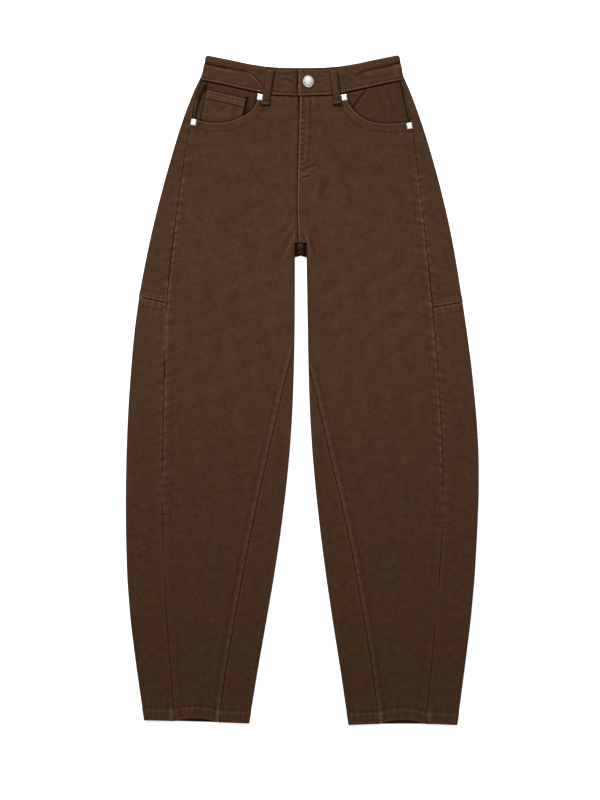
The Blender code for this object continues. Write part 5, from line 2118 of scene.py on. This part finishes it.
@dataclass
class Studio:
    """The floor, the soft light and the camera straight above, in metres.

    Attributes:
        middle: What the camera looks at.
        distance: How high it stands.
        lens: Its focal length in millimetres.
    """

    middle: tuple = (-0.0031, -0.0154)
    distance: float = 3.418
    lens: float = 100.0
    sensor: float = 36.0
    floor_size: float = 8.0
    sky: float = 0.31
    key_power: float = 41.4
    key_place: tuple = (-0.28, 1.4, 1.7)
    key_size: float = 0.9
    fill_power: float = 8.0
    fill_place: tuple = (0.9, 0.5, 2.4)
    fill_size: float = 2.4
    floor_glow: float = 0.65

    def make(self, legs: Sequence[LegForm]) -> None:
        """Sets up the studio round the two sides of the garment."""
        self._camera()
        self._floor(legs)
        self._light("key", self.key_place, self.key_size, self.key_power)
        self._light("fill", self.fill_place, self.fill_size, self.fill_power)
        world = bpy.data.worlds.new("soft_room")
        world.use_nodes = True
        world.node_tree.nodes["Background"].inputs["Color"].default_value = (1, 1, 1, 1)
        world.node_tree.nodes["Background"].inputs["Strength"].default_value = self.sky
        bpy.context.scene.world = world
        bpy.context.scene.view_settings.view_transform = "Standard"

    def _camera(self) -> None:
        """Adds the camera."""
        data = bpy.data.cameras.new("camera")
        data.lens, data.sensor_width = self.lens, self.sensor
        camera = bpy.data.objects.new("camera", data)
        camera.location = (*self.middle, self.distance)
        bpy.context.scene.collection.objects.link(camera)
        bpy.context.scene.camera = camera

    def _light(self, name: str, place: tuple, size: float, power: float) -> None:
        """Adds a square soft light that faces the garment."""
        data = bpy.data.lights.new(name, "AREA")
        data.shape, data.size, data.energy = "SQUARE", size, power
        light = bpy.data.objects.new(name, data)
        light.location = place
        towards = Vector((0, 0.1, 0)) - Vector(place)
        light.rotation_euler = towards.to_track_quat("-Z", "Y").to_euler()
        light.visible_camera = False
        bpy.context.scene.collection.objects.link(light)

    def _floor(self, legs: Sequence[LegForm]) -> None:
        """Adds the plain pale floor, which glows faintly where the garment doesn't cover it and is painted dark grey as
        shade where it does.

        Args:
            legs: The two sides of the garment, right and left.
        """
        reach, inset = self.floor_size / 2 / MM, 0.2
        heights = np.arange(-502.0, 486.0, 4.0)
        outer = [np.minimum(leg.outer(heights), 150 + 0.25 * (512 - heights)) - inset for leg in legs]
        inner = [leg.inner(heights) + inset for leg in legs]
        far = np.full(len(heights), reach)
        columns = np.stack((-far, -outer[0], -inner[0], inner[1], outer[1], far), axis=1)
        places = [(x, y) for row, y in zip(columns, heights) for x in row]
        places += [(x, y) for y in (-reach, reach) for x in (-reach, reach)]
        count = len(columns[0])
        faces, covered = [], []
        for i, y in enumerate(heights[:-1]):
            for j in range(count - 1):
                low = i * count + j
                faces.append((low, low + 1, low + count + 1, low + count))
                covered.append(j in (1, 3) or (j == 2 and y > LEGS_PART))
        last = len(heights) * count
        faces += [(last, last + 1, *range(count - 1, -1, -1))]
        faces += [(*range(last - count, last), last + 3, last + 2)]
        covered += [False, False]
        mesh = bpy.data.meshes.new("floor")
        mesh.from_pydata([(x * MM, y * MM, 0) for x, y in places], [], faces)
        for name, shade, glow in (("pale_floor", 0.93, self.floor_glow), ("painted_shade_floor", 0.12, 0.0)):
            mesh.materials.append(self._paint(name, shade, glow))
        mesh.polygons.foreach_set("material_index", np.array(covered, np.int32))
        floor = bpy.data.objects.new("floor", mesh)
        floor.location.z = -0.0003
        bpy.context.scene.collection.objects.link(floor)

    @staticmethod
    def _paint(name: str, shade: float, glow: float) -> bpy.types.Material:
        """Makes the floor's matt paint, which is a dark grey painted shade where the garment covers it."""
        material = bpy.data.materials.new(name)
        material.use_nodes = True
        shader = material.node_tree.nodes["Principled BSDF"]
        shader.inputs["Base Color"].default_value = (shade, shade, 0.995 * shade, 1)
        shader.inputs["Roughness"].default_value = 0.9
        shader.inputs["Specular IOR Level"].default_value = 0.1
        shader.inputs["Emission Color"].default_value = (1, 1, 1, 1)
        shader.inputs["Emission Strength"].default_value = glow
        return material


class Trousers:
    """All the pieces of the garment."""

    # The pocket facings' folds, as (points, rise, width, tint) rows; the tint paints shade and highlight along them
    RIGHT_FOLDS = (
        (((-164.9, 452), (-166, 445), (-168.4, 412)), -0.5, 1.2, -0.4),
        (((-161.0, 470), (-162.8, 450), (-165.4, 418)), 0.4, 1.3, 0.2),
        (((-155.6, 455), (-159.7, 437.6), (-163.2, 424), (-164.8, 412)), -0.8, 1.5, -0.7),
        (((-146, 471), (-150.8, 462), (-155.1, 452.8), (-158.4, 442)), -0.7, 2.8, -0.6),
        (((-144, 475), (-147, 467), (-150, 456)), -0.4, 5.0, -0.2),
        (((-104, 462), (-88, 458), (-74, 452)), 0.2, 3.0, 0.06),
        (((-84, 454), (-82, 440), (-86, 420)), -0.3, 3.4, -0.2),
    )
    LEFT_FOLDS = (
        (((149.2, 480), (155.4, 452), (164.5, 410)), -0.7, 1.1, -0.55),
        (((145.6, 480), (151.6, 452), (159, 414)), 0, 3.0, -0.12),
        (((152.4, 480), (158.2, 452), (165.6, 416)), 0.4, 1.4, 0.16),
        (((99, 464), (88, 448), (72, 427)), -0.6, 1.8, -0.36),
        (((104, 460), (93, 446), (84, 432)), 0.3, 2.6, 0.06),
        (((132, 464), (136, 446), (140, 424)), -0.3, 3.0, -0.06),
    )

    def __init__(self) -> None:
        """Reads the outlines and prepares the finishes."""
        self.outlines = Outlines.read()
        self.right = LegForm("right", -1, 65.6, 0.21, self.outlines)
        self.left = LegForm("left", 1, 67.2, 0.17, self.outlines)
        self.cloth = TwillFinish("brown_twill", "cloth")
        self.thread = ThreadFinish("brown_thread", "cloth")
        self.satin = MetalFinish("satin_silver", "button_metal")
        self.bright = MetalFinish("bright_silver", "rivet_metal", colour=(0.6, 0.6, 0.595), roughness=0.5, grain=500.0)
        self.pieces: dict = {}

    def make(self) -> None:
        facing_right = PocketFacing(self.right, self.RIGHT_FOLDS)
        coin = CoinPocket(facing_right)
        loops = [BeltLoop(name, *ends) for name, ends in zip(("right", "left"), FRONT_LOOPS)]
        makers = [BackPanel(leg, part) for leg in (self.right, self.left) for part in ("upper", "lower")]
        makers += [facing_right, PocketFacing(self.left, self.LEFT_FOLDS), coin]
        makers += [FrontPanel(self.right), FrontPanel(self.left), Waistband(self.outlines), *loops]
        makers += [BackLoop(name) for name in ("right", "centre", "left")]
        for maker in makers:
            piece = maker.make()
            piece.build(self.cloth)
            self.pieces[piece.node] = piece
        self._sew(coin, loops)
        for piece in self.pieces.values():
            piece.lay(self._rests_on(piece.node))
        Button().make(self.satin)
        for name, turn in (("right_inner", -8.4), ("left_inner", 7.8), ("right_outer", -9.0), ("left_outer", 9.0)):
            Rivet(name, turn).make(self.bright)

    def _rests_on(self, node: str) -> list:
        """Names what a piece lies on."""
        side = node.rsplit("_", 1)[-1]
        if "back" in node:
            return ["floor"]
        if node.startswith("front"):
            return [f"panel_back_upper_{side}", f"panel_back_lower_{side}"]
        if node.startswith("pocket"):
            return [f"panel_back_upper_{side}"]
        if node == "coin_pocket":
            return ["cloth_pocket_facing_right"]
        if node == "waistband":
            return [f"cloth_belt_loop_back_{name}" for name in ("right", "centre", "left")]
        return ["cloth_waistband"]

    def _sew(self, coin: CoinPocket, loops: Sequence[BeltLoop]) -> None:
        """Adds the topstitching."""
        plain, close = Thread(), Thread(pitch=0.75, length=2.2, width=0.5, rise=0.3)
        for leg in (self.right, self.left):
            sewing = Sewing(f"sewing_{leg.name}")
            front = self.pieces[f"front_{leg.name}"]
            upper, lower = (self.pieces[f"back_{part}_{leg.name}"] for part in ("upper", "lower"))
            inseam = leg.inseam_line(-513)
            for distance in (1.9, 6.6):
                sewing.run(front, inseam.offset(leg.sign * distance), plain)
            for distance in (3.4, 11.6):
                line = leg.mouth.offset(-leg.sign * distance)
                sewing.run(front, line.part(5, line.length - 3), plain)
            for distance in (4.6, 9.4):
                line = leg.cross_line().offset(-leg.sign * distance)
                sewing.run(upper, line.part(1.5, line.length - 1), plain)
            self._sew_hem(sewing, leg, front, lower)
            if leg.sign > 0:
                fly = Fly.read(leg)
                for distance in (3.7, 9.4):
                    sewing.run(front, fly.seam.offset(distance), plain)
                for at in np.arange(0, fly.tack.length, close.pitch):
                    x, y = (float(np.interp(at, fly.tack.along, fly.tack.points[:, i])) for i in (0, 1))
                    sewing.stitch(front, x, y + 1.6, (0.1, 1), close)
            sewing.build(self.thread)
        band = Sewing("sewing_waist")
        cloth = self.pieces["waistband"]
        seam, top = Waistband(self.outlines).edge_lines()
        band.run(cloth, seam.offset(4.6), plain)
        band.run(cloth, top.offset(-4.0), Thread(width=0.5, rise=0.08))
        end = Line(((BAND_OVERLAP_END + 3.2, 455), (BAND_OVERLAP_END + 3.2, 489)))
        band.run(cloth, end, plain)
        self._sew_buttonhole(band, cloth)
        for line in coin.sewing():
            band.run(self.pieces["coin_pocket"], line, plain)
        for loop in loops:
            strip = self.pieces[f"belt_loop_front_{loop.name}"]
            for edge in (-0.66, 0.66):
                band.run(strip, loop.line(edge, 0.02, 0.98), plain)
            for along in (0.055, 0.95):
                line = loop.tack(along)
                for at in np.arange(0.5, line.length, close.pitch):
                    x, y = (float(np.interp(at, line.along, line.points[:, i])) for i in (0, 1))
                    band.stitch(strip, x, y, (0.1, 1), close)
        band.build(self.thread)

    def _sew_hem(self, sewing: Sewing, leg: LegForm, front: ClothPiece, lower: ClothPiece) -> None:
        """Sews the turned hem, across the panels that show."""
        y = HEM_TOP
        inner, inseam = float(leg.inner(y)), float(leg.inner(y) + leg.inward(y))
        seam, outer = float(leg.side_seam(y)), float(leg.outer(y))
        for start, end, cloth, is_front in (
            (inner + 2, inseam - 1, lower, False),
            (inseam + 1, seam - 1, front, True),
            (seam + 1, outer - 2, lower, False),
        ):
            u = np.linspace(start, end, 60)
            line = Line(np.stack((leg.sign * u, leg.height(y, u, is_front)), axis=1), smooth=False)
            sewing.run(cloth, line, Thread())

    def _sew_buttonhole(self, sewing: Sewing, cloth: ClothPiece) -> None:
        """Adds the part of the buttonhole that the button leaves open."""
        close = Thread(pitch=0.8, length=1.7, width=0.4, rise=0.1)
        hole = Line(((17.4, 471.2), (22, 471.4), (27, 473.2), (31.6, 476.0)))
        for at in np.arange(0, hole.length, close.pitch):
            x, y = (float(np.interp(at, hole.along, hole.points[:, i])) for i in (0, 1))
            for side in (-1.25, 1.25):
                sewing.stitch(cloth, x, y + side, (0.15, 1), close)
        for step in np.arange(-1.6, 1.7, 0.8):
            sewing.stitch(cloth, 32.6 - 0.4 * step, 476.4 + step, (1, 0.5), close)


def main() -> None:
    """Builds the studio and the garment."""
    logging.basicConfig(level=logging.INFO, format="%(message)s")
    garment = Trousers()
    Studio().make((garment.right, garment.left))
    garment.make()


if __name__ == "__main__":
    main()
